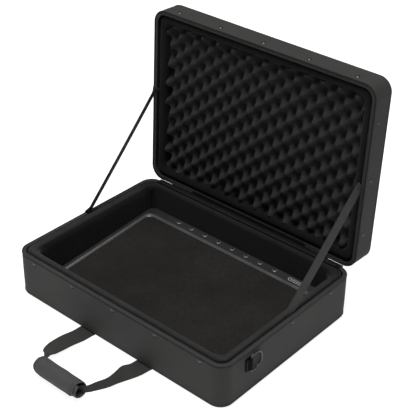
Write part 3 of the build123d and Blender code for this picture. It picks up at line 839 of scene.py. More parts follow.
def edge_pieces(body, binding_node, low_z, high_z, rim_z, up):
    """Binding with its stitches, zip tape with its stitches, and the zip teeth."""
    lid = body == "lid"
    section = rounded(BINDING_OUT, BINDING_IN, low_z, high_z, (BINDING_R, BINDING_R), 4)
    binding = ring_sheet(binding_node + "_fold", case, section, soft_edge(3.0))
    cloth = LID_BINDING_PAINTED_SHADE if lid else BINDING
    finish_piece(binding, body, cloth, "binding_tape", binding_node, on_lid=lid)
    seam = [rim_path(BINDING_OUT, (low_z + high_z) / 2 - up * BINDING_SEAM_DROP)]
    sewn(binding_node + "_stitches", seam, body, "binding_tape", lid)

    tape_node = body + "_zip_tape"
    tape_z = rim_z - up * TAPE_DROP
    low, high = sorted((tape_z, tape_z - up * TAPE_T))
    section = rounded(TAPE_OUT, TAPE_IN, low, high, (TAPE_R, TAPE_R), 2)
    tape = run_sheet(tape_node + "_weave", case, section, ZIP_REACH)
    finish_piece(tape, body, TAPE, "binding_tape", tape_node, on_lid=lid)
    seam = [zip_path(TAPE_SEAM, tape_z, up)]
    sewn(tape_node + "_stitches", seam, body, "binding_tape", lid, **TAPE_STITCH)

    coil_node = body + "_zip_coil"
    path, _ = zip_path(COIL_MID, rim_z - up * COIL_DROP, up)
    lengths = lengths_along(path)
    teeth = []
    for at in np.arange(COIL_PITCH, lengths[-1] - COIL_PITCH, COIL_PITCH):
        here = at_length(at, lengths, path)
        ahead = unit(at_length(at + MM, lengths, path) - here)
        side = np.cross((0, 0, 1.0), ahead)
        teeth.append((np.column_stack([side, ahead, (0, 0, 1.0)]) * TOOTH, here))
    coil = copies(coil_node + "_teeth", CAPSULE, teeth)
    finish_piece(coil, body, COIL, "zip_coil", coil_node, on_lid=lid)


LID_BINDING_Z = closed_box("lid_rim_binding")[1][2]
FOLD_H = LID_BINDING_Z - LID_RIM_Z
FOLD_START = FOLD_H + BINDING_IN - BINDING_OUT - 0.5 * MM
OUTER_FACE = (FOLD_START, FOLD_START + FOLD_H - 1.2 * MM)
# The lid's binding: away from its outer face, on the faces turned in towards the lining, it is
# painted dark as painted shade.
LID_BINDING_PAINTED_SHADE = woven(
    "lid_binding_with_painted_shade", BINDING_COLOUR, 0.66, BINDING_THREAD, 0.03, 0.25, OUTER_FACE
)
BASE_BINDING_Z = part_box("base_top_binding")[0].z
edge_pieces("base", "base_top_binding", BASE_BINDING_Z, BASE_RIM_Z, BASE_RIM_Z, 1)
edge_pieces("lid", "lid_rim_binding", LID_RIM_Z, LID_BINDING_Z, LID_RIM_Z, -1)


def piping(node, body, low, high):
    """A cord under fabric, round the case."""
    middle, radius = (low[2] + high[2]) / 2, (high[2] - low[2]) / 2
    profile = []
    for k in range(12):
        a = 2 * math.pi * k / 12
        profile.append((0.15 * MM - radius * 0.8 * math.cos(a), middle + radius * math.sin(a)))
    cord = ring_sheet(node + "_cord", case, profile, soft_edge(9.0))
    finish_piece(cord, body, BINDING, "binding_tape", node, on_lid=body == "lid")


piping("base_bottom_piping", "base", *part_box("base_bottom_piping"))
piping("lid_edge_piping", "lid", *closed_box("lid_edge_piping"))


# ---- padded lining: swollen by a short cloth simulation ----

PLUSH_OUT = 10.2 * MM
PLUSH_IN = 27.4 * MM


def plush_wall(name, z_foot, z_rim, radius):
    """The padded wall before it swells: a ring with a rounded rim."""
    low, high, radii = z_foot, z_rim - 0.5 * MM, (MM, radius)
    if z_rim < z_foot:
        low, high, radii = z_rim + 0.5 * MM, z_foot, (radius, MM)
    section = rounded(PLUSH_OUT + 0.2 * MM, PLUSH_IN - 0.6 * MM, low, high, radii, 4)
    return ring_sheet(name, case, section)


def inset_of(points):
    """How far in from the case's outer face each point is, ignoring corner rounding."""
    return np.minimum(HALF_X - abs(points[:, 0]), HALF_Y - abs(points[:, 1]))


def remeshed(made, voxel):
    remesh = made.modifiers.new("voxels", "REMESH")
    remesh.mode = "VOXEL"
    remesh.voxel_size = voxel
    graph = bpy.context.evaluated_depsgraph_get()
    mesh = bpy.data.meshes.new_from_object(made.evaluated_get(graph))
    made.modifiers.clear()
    made.data = mesh
    mesh.shade_smooth()


CLOTH_FRAMES = 20
CLOTH_SETTINGS = {
    "quality": 4, "mass": 0.3, "tension_stiffness": 12, "compression_stiffness": 12,
    "bending_stiffness": 1.5, "use_pressure": True, "uniform_pressure_force": 4.0,
    "vertex_group_mass": "held",
}


def swell(jobs):
    """Swells (object, hold, cap, low, high) jobs together under inner pressure. hold gives
    each point's pin weight, cap the furthest it may move, low and high its height's limits."""
    rest = {}
    for made, hold, *_ in jobs:
        points = np.array([v.co for v in made.data.vertices])
        rest[made.name] = points
        group = made.vertex_groups.new(name="held")
        for i, weight in enumerate(hold(points)):
            group.add([i], float(weight), "REPLACE")
        cloth = made.modifiers.new("cloth", "CLOTH")
        for key, value in CLOTH_SETTINGS.items():
            setattr(cloth.settings, key, value)
        cloth.settings.effector_weights.gravity = 0
        cloth.point_cache.frame_end = CLOTH_FRAMES
    for number in range(1, CLOTH_FRAMES + 1):
        bpy.context.scene.frame_set(number)
    graph = bpy.context.evaluated_depsgraph_get()
    for made, _, cap, low, high in jobs:
        start = rest[made.name]
        result = np.array([v.co for v in made.evaluated_get(graph).data.vertices])
        travel = result - start
        far = np.linalg.norm(travel, axis=1)
        share = np.minimum(1, cap / np.maximum(far, 1e-9))
        final = start + travel * share[:, None]
        final[:, 2] = np.clip(final[:, 2], low, high)
        made.modifiers.clear()
        made.vertex_groups.clear()
        made.data.vertices.foreach_set("co", final.astype(np.float32).ravel())
        made.data.update()
        smooth = made.modifiers.new("round", "SUBSURF")
        smooth.levels = smooth.render_levels = 1
    bpy.context.scene.frame_set(1)


PLUSH_R = 4.5 * MM
LID_FOOT_Z = closed_box("lid_wall_foam")[1][2] - 0.1 * MM
base_plush = plush_wall("base_plush_wall", 6.4 * MM, BASE_RIM_Z + 4 * MM, PLUSH_R)
lid_plush = plush_wall("lid_plush_wall", LID_FOOT_Z, LID_RIM_Z + 3 * MM, PLUSH_R)
pad_low, pad_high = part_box("base_floor_pad")
pad_rim = Rim(pad_high.x, pad_high.y, INNER_CORNER_R, INNER_CORNER_R, 8 * MM, 8)


def padded_mat(name, rim, z0, z1, radius):
    """A flat padded mat with round edges, before it swells."""
    walls = [(0.0, z0), (0.0, z0), (0.0, z1 - radius)]
    walls += [(radius * 0.3, z1 - radius * 0.3), (radius, z1)]
    made = skin(name, rim, walls, 0.0, NO_PINS, 0.0)
    points = [tuple(v.co) for v in made.data.vertices]
    faces = [tuple(f.vertices) for f in made.data.polygons]
    faces.append(tuple(i * len(walls) for i in range(len(rim.outer))))
    bpy.data.objects.remove(made)
    return mesh_object(name, points, faces)


floor_pad = padded_mat(
    "base_floor_cushion", pad_rim, pad_low.z + 0.1 * MM, pad_high.z - 1.2 * MM, 2 * MM
)
for made, voxel in ((base_plush, 5.5 * MM), (lid_plush, 5.5 * MM), (floor_pad, 5 * MM)):
    remeshed(made, voxel)

FEET = islands("board_feet")


def hold_wall(z_foot):
    def hold(points):
        inset = inset_of(points)
        outer = np.clip((16 * MM - inset) / (5 * MM), 0, 1)
        foot = np.clip(1 - abs(points[:, 2] - z_foot) / (14 * MM), 0, 1)
        return np.maximum(outer, foot)

    return hold


def hold_pad(points):
    near = np.full(len(points), 9.0)
    for foot in FEET:
        near = np.minimum(near, np.linalg.norm(points[:, :2] - foot[:2], axis=1))
    pressed = np.clip(1 - (near - 9 * MM) / (12 * MM), 0, 1)
    under = np.clip((pad_low.z + 3 * MM - points[:, 2]) / MM, 0, 1)
    return np.maximum(pressed, under)


WALL_SWELL, PAD_SWELL = 2.6 * MM, 2.0 * MM
swell([
    (base_plush, hold_wall(6 * MM), WALL_SWELL, -math.inf, BASE_RIM_Z + 4.1 * MM),
    (lid_plush, hold_wall(LID_TOP_Z - 5 * MM), WALL_SWELL, LID_RIM_Z + 2.9 * MM, math.inf),
    (floor_pad, hold_pad, PAD_SWELL, pad_low.z, pad_high.z + 0.4 * MM),
])
# The base lining, with a painted highlight on its rim's top and painted shade towards the back.
LINING_PAINTED_LIGHT_AND_SHADE = plush("lining_with_painted_light_and_shade", (0.012, 0.012, 0.0118), 0.16, BASE_RIM_Z + 4 * MM)
finish_piece(base_plush, "base", LINING_PAINTED_LIGHT_AND_SHADE, "plush_lining", "base_wall_foam")
finish_piece(lid_plush, "lid", LID_PLUSH_PAINTED_SHADE, "plush_lining", "lid_wall_foam", on_lid=True)
finish_piece(floor_pad, "base", PLUSH, "plush_lining", "base_floor_pad")


# ---- convoluted foam ----

CONE_RIGHT = np.array([38.35, -2.8]) * MM
CONE_UP = np.array([5.2, 43.9]) * MM
CONE_START = np.array([-240.2, 27.7]) * MM
CONE_H = 26 * MM


def convoluted_foam():
    """Egg-crate sheet: two crossed waves, blunt at the tips, standing on a flat back."""
    low, high = closed_box("lid_convoluted_foam")
    rim = Rim(high[0], high[1], INNER_CORNER_R, INNER_CORNER_R, 2.6 * MM, 8)
    steps_x, steps_y = rim.side_steps
    flat = coons(np.column_stack([rim.outer, np.zeros(len(rim.outer))]), steps_x, steps_y)
    away = np.stack([flat[..., 0], HALF_Y - flat[..., 1]], -1) - CONE_START
    turns = away @ np.linalg.inv(np.array([CONE_RIGHT, CONE_UP])) * 2 * np.pi
    wave = np.cos(turns[..., 0]) * np.cos(turns[..., 1])
    sunk = ((1 - wave) / 2) ** 1.05
    rough = wobble(flat.reshape(-1, 3), 0.5 * MM, 9 * MM, 5.0).reshape(wave.shape)
    top = low[2] + sunk * CONE_H + rough + 0.5 * MM
    back = high[2] - 0.1 * MM
    points = [(*flat[i, j, :2], top[i, j]) for i in range(steps_x + 1) for j in range(steps_y + 1)]
    width = steps_y + 1
    faces = []
    for i in range(steps_x):
        for j in range(steps_y):
            a = i * width + j
            faces.append((a, a + width, a + width + 1, a + 1)[::-1])
    edge = [(i, 0) for i in range(steps_x)] + [(steps_x, j) for j in range(steps_y)]
    edge += [(i, steps_y) for i in range(steps_x, 0, -1)] + [(0, j) for j in range(steps_y, 0, -1)]
    first = len(points)
    points += [(*flat[i, j, :2], back) for i, j in edge]
    count = len(edge)
    for k in range(count):
        k2 = (k + 1) % count
        a = edge[k][0] * width + edge[k][1]
        b = edge[k2][0] * width + edge[k2][1]
        faces.append((a, b, first + k2, first + k)[::-1])
    faces.append(tuple(first + k for k in range(count)))
    return mesh_object("egg_crate_foam", points, faces)


foam = convoluted_foam()
finish_piece(foam, "lid", FOAM, "convoluted_foam", "lid_convoluted_foam", on_lid=True)


# ---- webbing ----

def smooth_path(stations, step=2 * MM):
    """Catmull-Rom through (centre, across, width) stations, evenly resampled."""
    rows = np.array([(*c, *a, w) for c, a, w in stations], float)
    padded = np.vstack([2 * rows[0] - rows[1], rows, 2 * rows[-1] - rows[-2]])
    out = []
    for k in range(len(rows) - 1):
        p0, p1, p2, p3 = padded[k : k + 4]
        span = np.linalg.norm(p2[:3] - p1[:3])
        count = max(2, int(span / step))
        for t in np.arange(count) / count:
            out.append(
                0.5 * (2 * p1 + (p2 - p0) * t + (2 * p0 - 5 * p1 + 4 * p2 - p3) * t**2
                       + (3 * p1 - p0 - 3 * p2 + p3) * t**3)
            )
    out.append(rows[-1])
    return np.array(out)


def webbing_frames(stations):
    path = smooth_path(stations)
    centre = path[:, :3]
    ahead = unit_rows(np.gradient(centre, axis=0))
    across = path[:, 3:6]
    across = unit_rows(across - ahead * np.sum(across * ahead, axis=1)[:, None])
    return centre, across, np.cross(ahead, across), path[:, 6]


SELVEDGE_FROM, MIDDLE_T, EDGE_T = 0.86, 0.86, 0.45


def webbing(name, stations, thickness):
    """Flat webbing with thicker selvedges, its weave along its length."""
    centre, across, up, width = webbing_frames(stations)
    steps = 14
    places = [-1 + 2 * k / steps for k in range(steps + 1)]
    top = [(s, 1.0 if abs(s) > SELVEDGE_FROM else MIDDLE_T) for s in places]
    top[0], top[-1] = (-1.0, EDGE_T), (1.0, EDGE_T)
    around = top + [(s, -h) for s, h in reversed(top)]
    rows = []
    for c, a, n, w in zip(centre, across, up, width):
        rows.append([c + a * s * w / 2 + n * h * thickness / 2 for s, h in around])
    grid = np.array(rows)
    v = [s * float(np.mean(width)) / 2 for s, _ in around]
    return sheet(name, grid, running_length(grid[:, 0]), v + v[:1], False, True, caps=True)


EDGE_INSET = 3.5 * MM


def edge_stitches(name, stations, thickness, body, on_lid=False):
    """Two rows of stitches just inside a webbing's edges, on both faces."""
    centre, across, up, width = webbing_frames(stations)
    paths = []
    for face in (1, -1):
        for side in (-1, 1):
            points = centre + across * (side * (width / 2 - EDGE_INSET))[:, None]
            paths.append((points + up * face * thickness * 0.46, up * face))
    return sewn(name, paths, body, on_lid=on_lid)


def box_stitch(centre, ahead, across, up, length, width):
    """A sewn box with a cross in it, as (points, normals) paths."""
    a, b = ahead * length / 2, across * width / 2
    corners = [centre + a + b, centre + a - b, centre - a - b, centre - a + b]
    lines = [(corners[k], corners[(k + 1) % 4]) for k in range(4)]
    lines += [(corners[0], corners[2]), (corners[1], corners[3])]
    return [(np.array(line), np.array([up, up])) for line in lines]


STAY_W, STAY_T, STAY_SAG = 25 * MM, 1.3 * MM, 1.5 * MM
TWIST_RUN = 0.05


def stay(side, twist):
    """A lid stay from the base's groove to the lid's, turned about its length by twist."""
    node = "stay_strap_right" if side > 0 else "stay_strap_left"
    name = node + "_webbing"
    points = cad_points(node)
    middle = (points.min(0) + points.max(0)) / 2
    axis = np.linalg.svd(points - middle, full_matrices=False)[2][0]
    axis *= np.sign(axis[2])
    half = abs((points - middle) @ axis).max() - 3 * MM
    base_end, lid_end = middle - axis * half, middle + axis * half
    flat = np.cross(unit(lid_end - base_end), (1.0, 0, 0))
    stations = []
    for share in (0, 0.025, 0.05, 0.1, 0.3, 0.5, 0.7, 0.9, 0.95, 0.975, 1):
        a = math.radians(twist * min(1.0, min(share, 1 - share) / TWIST_RUN))
        sag = math.sin(math.pi * share) * -STAY_SAG
        across = flat * math.cos(a) - np.array([1.0, 0, 0]) * math.sin(a)
        centre = base_end + (lid_end - base_end) * share + np.array([0, 0, sag])
        stations.append((centre, across, STAY_W))
    strap = webbing(name, stations, STAY_T)
    finish_piece(strap, None, WEBBING, "webbing", node)
    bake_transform(strap)


stay(-1, 24.0)
stay(1, -5.5)


HINGE_REACH = 240 * MM
HINGE_STEPS = np.array([148, 151, 204, 207]) * MM
HINGE_HEIGHTS = (1.0, 0.15, 0.15, 0.06)
HINGE_T = 0.45 * MM
FOLD_R = MM


def hinge_fabric():
    """The folded cloth hinge: flat on the base's rim, up in front of the lid's rim."""
    low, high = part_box("hinge_tape")
    flat_z = BASE_RIM_Z + 0.3 * MM
    fold_y = PIVOT.y + 1.45 * MM
    tilt = OPEN_TURN - math.pi / 2
    path = [(low.y - 1.2 * MM, flat_z)]
    for k in range(1, 6):
        path.append((low.y + (fold_y - low.y - FOLD_R) * k / 5, flat_z))
    for k in range(1, 5):
        a = math.radians(90 * k / 4)
        path.append((fold_y - FOLD_R * (1 - math.sin(a)), flat_z + FOLD_R * (1 - math.cos(a))))
    for k in range(1, 7):
        rise = (high.z - flat_z - FOLD_R) * k / 6
        path.append((fold_y + rise * math.tan(tilt), flat_z + FOLD_R + rise))
    path = np.array(path)
    ahead = unit_rows(np.gradient(path, axis=0))
    out = np.column_stack([-ahead[:, 1], ahead[:, 0]]) * HINGE_T / 2
    outline = np.vstack([path + out, (path - out)[::-1]])
    columns = np.linspace(-HINGE_REACH, HINGE_REACH, 150)
    grid = np.array([[(x, y, z) for y, z in outline] for x in columns])
    heights = np.interp(abs(columns), HINGE_STEPS, HINGE_HEIGHTS)
    grid[..., 2] = flat_z + (grid[..., 2] - flat_z) * heights[:, None]
    made = sheet(
        "hinge_cloth", grid, np.append(columns, HINGE_REACH), running_length(outline, True),
        False, True, caps=True,
    )
    finish_piece(made, None, HINGE_CLOTH_PAINTED_SHADE, "binding_tape", "hinge_tape")
    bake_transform(made)
    line = np.array([(x, low.y + 3 * MM, flat_z + HINGE_T / 2) for x in columns])
    path = (line, np.tile((0, 0, 1.0), (len(line), 1)))
    sewn("hinge_cloth_stitches", [path], "base", "binding_tape")


hinge_fabric()


# ---- handles ----

WEB_T = 1.6 * MM
WEB_W = 38 * MM
swing = joint("base_handle_swing")["pos_m"]
anchor_x = sorted(c[0] for c in islands("base_handle_anchors"))
grip_low, grip_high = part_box("base_handle_grip")
GRIP_C = (grip_low + grip_high) / 2


def base_handle():
    """The front loop: flat at its sewn ends, gathered where it enters the grip."""
    left, right = anchor_x
    y, z = swing[1], swing[2]
    gy, gz = GRIP_C.y, GRIP_C.z
    flat = (1, 0, 0)
    stations = [
        ((left, y + 1.5 * MM, z), flat, WEB_W),
        ((left - 0.001, -0.216, 0.0022), flat, WEB_W),
        ((left - 0.005, -0.241, 0.0035), flat, WEB_W),
        ((left - 0.004, -0.266, 0.0065), (1, 0.05, 0), 36 * MM),
        ((left + 0.001, -0.287, 0.0115), (1, 0.2, -0.15), 27 * MM),
        ((left + 0.007, -0.301, 0.018), (0.8, 0.4, -0.5), 17 * MM),
        ((grip_low.x - 0.0065, gy + 0.016, gz + 0.0035), (0.1, -0.3, -0.9), 13 * MM),
        ((grip_low.x - 0.0005, gy + 0.008, gz + 0.001), (0, -0.3, -0.9), 12 * MM),
        ((grip_low.x + 0.010, gy + 0.002, gz), (0, -0.5, -0.85), 15 * MM),
        ((grip_low.x + 0.030, gy, gz), (0, -1, -0.2), 18 * MM),
        ((grip_high.x - 0.030, gy, gz), (0, -1, 0.3), 18 * MM),
        ((grip_high.x - 0.010, gy + 0.006, gz), (0, -0.3, 1), 15 * MM),
        ((grip_high.x + 0.0015, gy + 0.0105, gz + 0.0005), (0, 0.1, 1), 15 * MM),
        ((right - 0.010, -0.303, 0.017), (-0.1, 0.1, 1), 18 * MM),
        ((right - 0.0055, -0.279, 0.0125), (-0.25, 0.05, 0.95), 19 * MM),
        ((right - 0.004, -0.258, 0.0112), (-0.5, 0, 0.85), 22 * MM),
        ((right - 0.003, -0.237, 0.0095), (-0.8, 0, 0.5), 29 * MM),
        ((right - 0.001, -0.212, 0.0032), (-1, 0, 0.05), 37 * MM),
        ((right, y + 1.5 * MM, z), (-1, 0, 0), WEB_W),
    ]
    strap = webbing("base_handle_webbing", stations, WEB_T)
    finish_piece(strap, None, WEBBING, "webbing", "base_handle_strap")
    seam = edge_stitches("base_handle_webbing_stitches", stations, WEB_T, None)
    for part in (strap, seam):
        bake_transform(part)


GRIP_AT = GRIP_C + Vector((-1.5, 1.0, 1.0)) * MM
GRIP_PAD = 2.8 * MM
GRIP_INNER_R = 14.2 * MM
GRIP_LAP = 2.7 * MM
LAP_FROM, LAP_TO = math.radians(25), math.radians(488)
FLAP_CORNERS = (20 * MM, 13 * MM)
FLAP_SHORT, INNER_SHORT = 5 * MM, 3.5 * MM
LAP_STARTS, LAP_SPAN = math.radians(230), math.radians(70)
EDGE_SOFT, SEAM_IN, SEAM_W = 2.2 * MM, 5.3 * MM, 1.5 * MM
SEAM_ROWS = (4.3 * MM, 6.3 * MM)


def flap_inset(s, corner, inset=0.0):
    """How far in from the grip's end its outline lies, s from the free edge."""
    radius = corner - inset
    reach = np.clip((corner - s) / radius, 0, 1)
    return inset + radius * (1 - np.sqrt(1 - reach**2))


def on_grip(x, turn, lift=0.0):
    """A point of the rolled pad; turn runs from straight up towards the front."""
    over = 1 / (1 + math.exp(-(turn - math.radians(362)) / 0.11))
    radius = GRIP_INNER_R + GRIP_LAP * over + lift
    crease = Vector((x / 0.021, math.cos(turn) * 1.3, math.sin(turn) * 1.3))
    radius += noise.noise(crease) * 0.7 * MM + noise.noise(crease * 3) * 0.2 * MM
    y = GRIP_AT.y - radius * math.sin(turn) * 1.03
    z = GRIP_AT.z + radius * math.cos(turn)
    return np.array([x, y, max(z, 0.5 * MM)])


def wrapped_grip():
    """A padded cloth rolled round the webbing: it starts inside, goes once round and laps
    over the front, its free edge round-cornered and double stitched."""
    rows, columns = 60, 130
    half = (grip_high.x - grip_low.x) / 2
    x0, x1 = GRIP_AT.x - half, GRIP_AT.x + half
    outer_r = GRIP_INNER_R + GRIP_LAP
    turns = np.linspace(LAP_FROM, LAP_TO, columns + 1)
    free = (LAP_TO - turns) * outer_r
    outer = np.clip((turns - LAP_STARTS) / LAP_SPAN, 0, 1)
    left = x0 + flap_inset(free, FLAP_CORNERS[0]) + INNER_SHORT * (1 - outer)
    right = x1 - flap_inset(free, FLAP_CORNERS[1]) - FLAP_SHORT * outer
    grid = np.zeros((rows + 1, 2 * columns + 2, 3))
    for i in range(rows + 1):
        for j, turn in enumerate(turns):
            x = left[j] + (right[j] - left[j]) * i / rows
            edge = min(x - left[j], right[j] - x, free[j], (turn - LAP_FROM) * GRIP_INNER_R)
            edge = max(edge, 0.0)
            puff = 0.5 + 0.5 * min(1.0, edge / EDGE_SOFT) ** 0.5
            puff -= 0.45 * math.exp(-(((edge - SEAM_IN) / SEAM_W) ** 2))
            grid[i, j] = on_grip(x, turn, GRIP_PAD * (puff - 0.5))
            grid[i, -1 - j] = on_grip(x, turn, -GRIP_PAD * 0.5)
    points = list(grid.reshape(-1, 3))
    width = grid.shape[1]
    around = running_length(grid[rows // 2], True)
    faces = []
    for i in range(rows):
        for j in range(width):
            a, b = i * width + j, i * width + (j + 1) % width
            faces.append((b, a, a + width, b + width))
    for row, flip in ((0, -1), (rows, 1)):
        for j in range(columns):
            a = row * width
            faces.append((a + j, a + j + 1, a + width - 2 - j, a + width - 1 - j)[::flip])
    corners = [corner for face in faces for corner in face]
    uvs = [(points[c][0], around[c % width]) for c in corners]
    made = mesh_object("base_handle_grip_roll", points, faces, uvs)
    finish_piece(made, "base_handle", GRIP, "grip_wrap", "base_handle_grip")

    paths = []
    for inset in SEAM_ROWS:
        down = np.linspace(52 * MM, inset, 40)
        across = np.linspace(x0 + FLAP_CORNERS[0], x1 - FLAP_SHORT - FLAP_CORNERS[1], 40)
        line = [(x0 + flap_inset(s, FLAP_CORNERS[0], inset), s) for s in down]
        line += [(x, inset) for x in across]
        line += [(x1 - FLAP_SHORT - flap_inset(s, FLAP_CORNERS[1], inset), s) for s in down[::-1]]
        flat = [(x, LAP_TO - s / outer_r) for x, s in line]
        on = np.array([on_grip(x, turn, GRIP_PAD * 0.2) for x, turn in flat])
        out = np.array([(0, -math.sin(turn), math.cos(turn)) for _, turn in flat])
        paths.append((on, out))
    name = "base_handle_grip_stitches"
    sewn(name, paths, "base_handle", "grip_wrap", pitch=3.2 * MM, length=2.4 * MM)


base_handle()
wrapped_grip()


def lid_handle():
    """The second loop, flat on the outside of the lid."""
    low, high = closed_box("lid_handle_strap")
    z = (low[2] + high[2]) / 2
    half = high[0] - WEB_W / 2
    y0, end = low[1], high[1] - 17 * MM
    stations = [
        ((-half, y0, z), (1, 0, 0), WEB_W),
        ((-half, y0 + 0.035, z + 0.2 * MM), (1, 0, 0), WEB_W),
        ((-half, high[1] - 46 * MM, z + 0.4 * MM), (1, 0.05, 0), WEB_W),
        ((-half + 0.014, end - 0.010, z + 0.3 * MM), (0.75, -0.65, 0), 35 * MM),
        ((-half + 0.040, end, z), (0.1, -1, 0), 34 * MM),
    ]
    mirrored = [((-x, *at), (-u, *v), w) for (x, *at), (u, *v), w in reversed(stations)]
    stations += [((0, end, z + 0.2 * MM), (0, -1, 0), 34 * MM)] + mirrored
    strap = webbing("lid_handle_webbing", stations, WEB_T)
    finish_piece(strap, "lid_handle", WEBBING, "webbing", "lid_handle_strap", on_lid=True)
    edge_stitches("lid_handle_webbing_stitches", stations, WEB_T, "lid_handle", on_lid=True)


lid_handle()

STITCH_BOX = 30 * MM


def anchors(node, body, low, high):
    """Webbing ends sewn flat to the case, each with crossed box stitching."""
    lid = body == "lid"
    face = 1.0 if lid else -1.0
    z = (low[2] + high[2]) / 2
    seam_z = z + face * WEB_T * 0.45
    ahead, across, up = np.array([0, 1.0, 0]), np.array([1.0, 0, 0]), np.array([0, 0, face])
    strips, paths = [], []
    for x in (low[0] + WEB_W / 2, high[0] - WEB_W / 2):
        front = low[1] - (0.0 if lid else 6.5 * MM)
        stations = [((x, y, z), (1, 0, 0), WEB_W) for y in (front, high[1])]
        strips.append(webbing(f"{node}_{'left' if x < 0 else 'right'}", stations, WEB_T))
        for y in (low[1] + 22 * MM, high[1] - 20 * MM):
            centre = np.array([x, y, seam_z])
            paths += box_stitch(centre, ahead, across, up, STITCH_BOX, STITCH_BOX)
        for side in (-1, 1):
            line = [(x + side * STITCH_BOX / 2, y, seam_z)
                    for y in np.linspace(low[1] + 38 * MM, high[1] - 36 * MM, 10)]
            paths.append((line, np.tile(up, (len(line), 1))))
    seam = stitch_row(node + "_stitches", paths)
    finish_piece(strips[0], body, WEBBING, "webbing", node, on_lid=lid)
    finish_piece(strips[1], body, WEBBING, "webbing", on_lid=lid)
    finish_piece(seam, body, THREAD, "webbing", on_lid=lid)


anchors("base_handle_anchors", "base", *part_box("base_handle_anchors"))
anchors("lid_handle_anchors", "lid", *closed_box("lid_handle_anchors"))


def ring_tab(side):
    """Webbing folded round a D-ring's bar and sewn down in front of it."""
    bar = joint("right_d_ring_swing")["pos_m"]
    low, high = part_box("d_ring_tabs")
    stand, y, z = bar[0] - HALF_X, bar[1], bar[2]
    layer = 1.3 * MM
    wrap = 1.85 * MM + layer / 2
    front = low.y
    places = [(front, 2.25 * MM), (front + 4 * MM, 2.6 * MM), (y - 3.5 * MM, 5.0 * MM)]
    for k in range(9):
        a = math.radians(90 - 180 * k / 8)
        places.append((y + wrap * math.cos(a), stand + wrap * math.sin(a)))
    places += [(y - 5 * MM, 0.95 * MM), (front, 0.85 * MM)]
    tall = high.z - low.z
    stations = [((side * (HALF_X + off), at, z), (0, 0, 1), tall) for at, off in places]
    name = "right" if side > 0 else "left"
    strap = webbing(f"d_ring_tab_{name}", stations, layer)
    replaced = ["d_ring_tabs"] if side > 0 else []
    finish_piece(strap, "base", TAB_PAINTED_SHADE, "webbing", *replaced)
    out, ahead, up = np.array([float(side), 0, 0]), np.array([0, 1.0, 0]), np.array([0, 0, 1.0])
    centre = np.array([side * (HALF_X + 2.9 * MM), front + 2.4 * MM, z])
    paths = box_stitch(centre, ahead, up, out, 3 * MM, 20 * MM)
    sewn(f"d_ring_tab_{name}_stitches", paths, "base")


ring_tab(1)
ring_tab(-1)


# ---- pedalboard carpet ----

LIP_W, LIP_UP, LIP_GAP = 8.5 * MM, 3.0 * MM, 0.3 * MM


def carpet():
    """Loop pile on the sloping deck, rounded down at its edge, inside the tray's moulded lip."""
    points = cad_points("board_carpet")
    slope = np.polyfit(points[:, 1], points[:, 2], 1)[0]
    middle = (points.min(0) + points.max(0)) / 2
    tilt = math.atan(slope)
    deck = Matrix.Translation(Vector(middle)) @ Matrix.Rotation(tilt, 4, "X")
    local = moved(points, deck.inverted())
    half_x, half_y, half_t = local.max(0)
    rim = Rim(half_x, half_y, 9 * MM, 6 * MM, 4 * MM, 8)
    profile = [(0.3 * MM, -half_t), (0, 0), (0.2 * MM, half_t - 0.5 * MM)]
    profile += [(0.7 * MM, half_t - 0.15 * MM), (1.6 * MM, half_t), (2.5 * MM, half_t)]
    made = skin("board_loop_carpet", rim, profile, 0.15 * MM, NO_PINS, 0.0)
    made.modifiers.clear()
    flat = np.array([v.co for v in made.data.vertices])
    flat[:, 2] += wobble(flat, 0.22 * MM, 6 * MM, 2.0) * (flat[:, 2] > half_t - 0.2 * MM)
    made.data.vertices.foreach_set("co", moved(flat, deck).astype(np.float32).ravel())
    finish_piece(made, "pedalboard", CARPET, "hook_loop_carpet", "board_carpet")

    outer_x, outer_y = half_x + LIP_W + LIP_GAP, half_y + LIP_W + LIP_GAP
    lip_rim = Rim(outer_x, outer_y, 16 * MM, 13 * MM, 4 * MM, 8)
    crest = half_t + LIP_UP
    section = [(0.0, -half_t), (0.0, half_t), (0.4 * MM, half_t + 0.5 * MM)]
    section += [(1.6 * MM, crest - 0.5 * MM), (2.6 * MM, crest), (3.6 * MM, crest - 0.1 * MM)]
    section += [(LIP_W - MM, half_t + 0.7 * MM), (LIP_W, half_t - 0.2 * MM), (LIP_W, -half_t)]
    lip = ring_sheet("board_tray_lip", lip_rim, section[::-1])
    lip.data.transform(deck)
    finish_piece(lip, "pedalboard", TRAY_LIP_PAINTED_HIGHLIGHT, "tray_plastic")


carpet()


# ---- floor, light, camera ----

def stage():
    """A pale floor that looks bright to the camera but lights the case less."""
    size = 6.0
    steps = np.linspace(-size, size, 9)
    grid = np.array([[(x, y, -0.4 * MM) for y in steps] for x in steps])
    floor = sheet("studio_floor", grid, np.append(steps, size), np.append(steps, size))
    paper = Finish("pale_paper", (0.5, 0.5, 0.5), 0.9, Emission_Color=(1, 1, 1, 1))
    seen = paper.node("LightPath", output="Is Camera Ray")
    paper.set("Emission Strength", paper.spread(seen, FLOOR_BOUNCE, FLOOR_GLOW))
    paper.bump(paper.noise(3.0), 0.5 * MM, 0.05)
    floor.data.materials.append(paper.material)


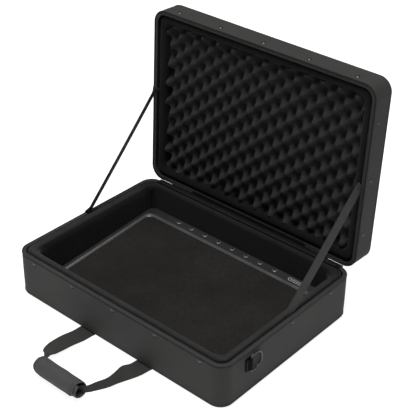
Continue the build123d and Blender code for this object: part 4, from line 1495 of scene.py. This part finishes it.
def world():
    """White surroundings, bright to the camera and dim as a light."""
    made = bpy.data.worlds.new("studio")
    bpy.context.scene.world = made
    made.use_nodes = True
    tree = made.node_tree
    background = tree.nodes["Background"]
    rays = tree.nodes.new("ShaderNodeLightPath")
    strength = tree.nodes.new("ShaderNodeMapRange")
    tree.links.new(rays.outputs["Is Camera Ray"], strength.inputs[0])
    strength.inputs[3].default_value = AMBIENT
    strength.inputs[4].default_value = BACKDROP
    tree.links.new(strength.outputs[0], background.inputs["Strength"])
    background.inputs["Color"].default_value = (1, 1, 1, 1)


def softbox(name, place, aim, size, power):
    light = bpy.data.lights.new(name, "AREA")
    light.shape = "RECTANGLE"
    light.size, light.size_y = size
    light.energy = power
    made = bpy.data.objects.new(name, light)
    bpy.context.scene.collection.objects.link(made)
    made.location = place
    made.rotation_mode = "QUATERNION"
    made.rotation_quaternion = (Vector(aim) - Vector(place)).to_track_quat("-Z", "Y")


AMBIENT, BACKDROP = 0.14, 1.05
FLOOR_GLOW = 0.9
FLOOR_BOUNCE = 0.4
CAMERA_AT = (1.1497, -1.2734, 1.3108)
YAW, PITCH, ROLL = 40.49, -32.47, 1.06
LENS = 93.5


def camera():
    """The photo's camera, from its place, its three turns and its lens."""
    yaw, pitch, roll = (math.radians(a) for a in (YAW, PITCH, ROLL))
    ahead = Vector((
        -math.sin(yaw) * math.cos(pitch), math.cos(yaw) * math.cos(pitch), math.sin(pitch)
    ))
    level = Vector((math.cos(yaw), math.sin(yaw), 0))
    up = level.cross(ahead)
    right = level * math.cos(roll) + up * math.sin(roll)
    up = up * math.cos(roll) - level * math.sin(roll)
    data = bpy.data.cameras.new("camera")
    data.lens = LENS
    data.sensor_width = 36
    data.clip_end = 50
    made = bpy.data.objects.new("camera", data)
    bpy.context.scene.collection.objects.link(made)
    turn = Matrix((right, up, -ahead)).transposed().to_4x4()
    made.matrix_world = Matrix.Translation(Vector(CAMERA_AT)) @ turn
    bpy.context.scene.camera = made


stage()
world()
softbox("key", (0.1, -0.6, 3.5), (0, 0, 0.1), (1.3, 1.3), 71)
softbox("back", (-0.2, 0.9, 4.0), (0, 0, 0.1), (1.6, 1.6), 28)
camera()
bpy.context.scene.view_settings.view_transform = "Standard"
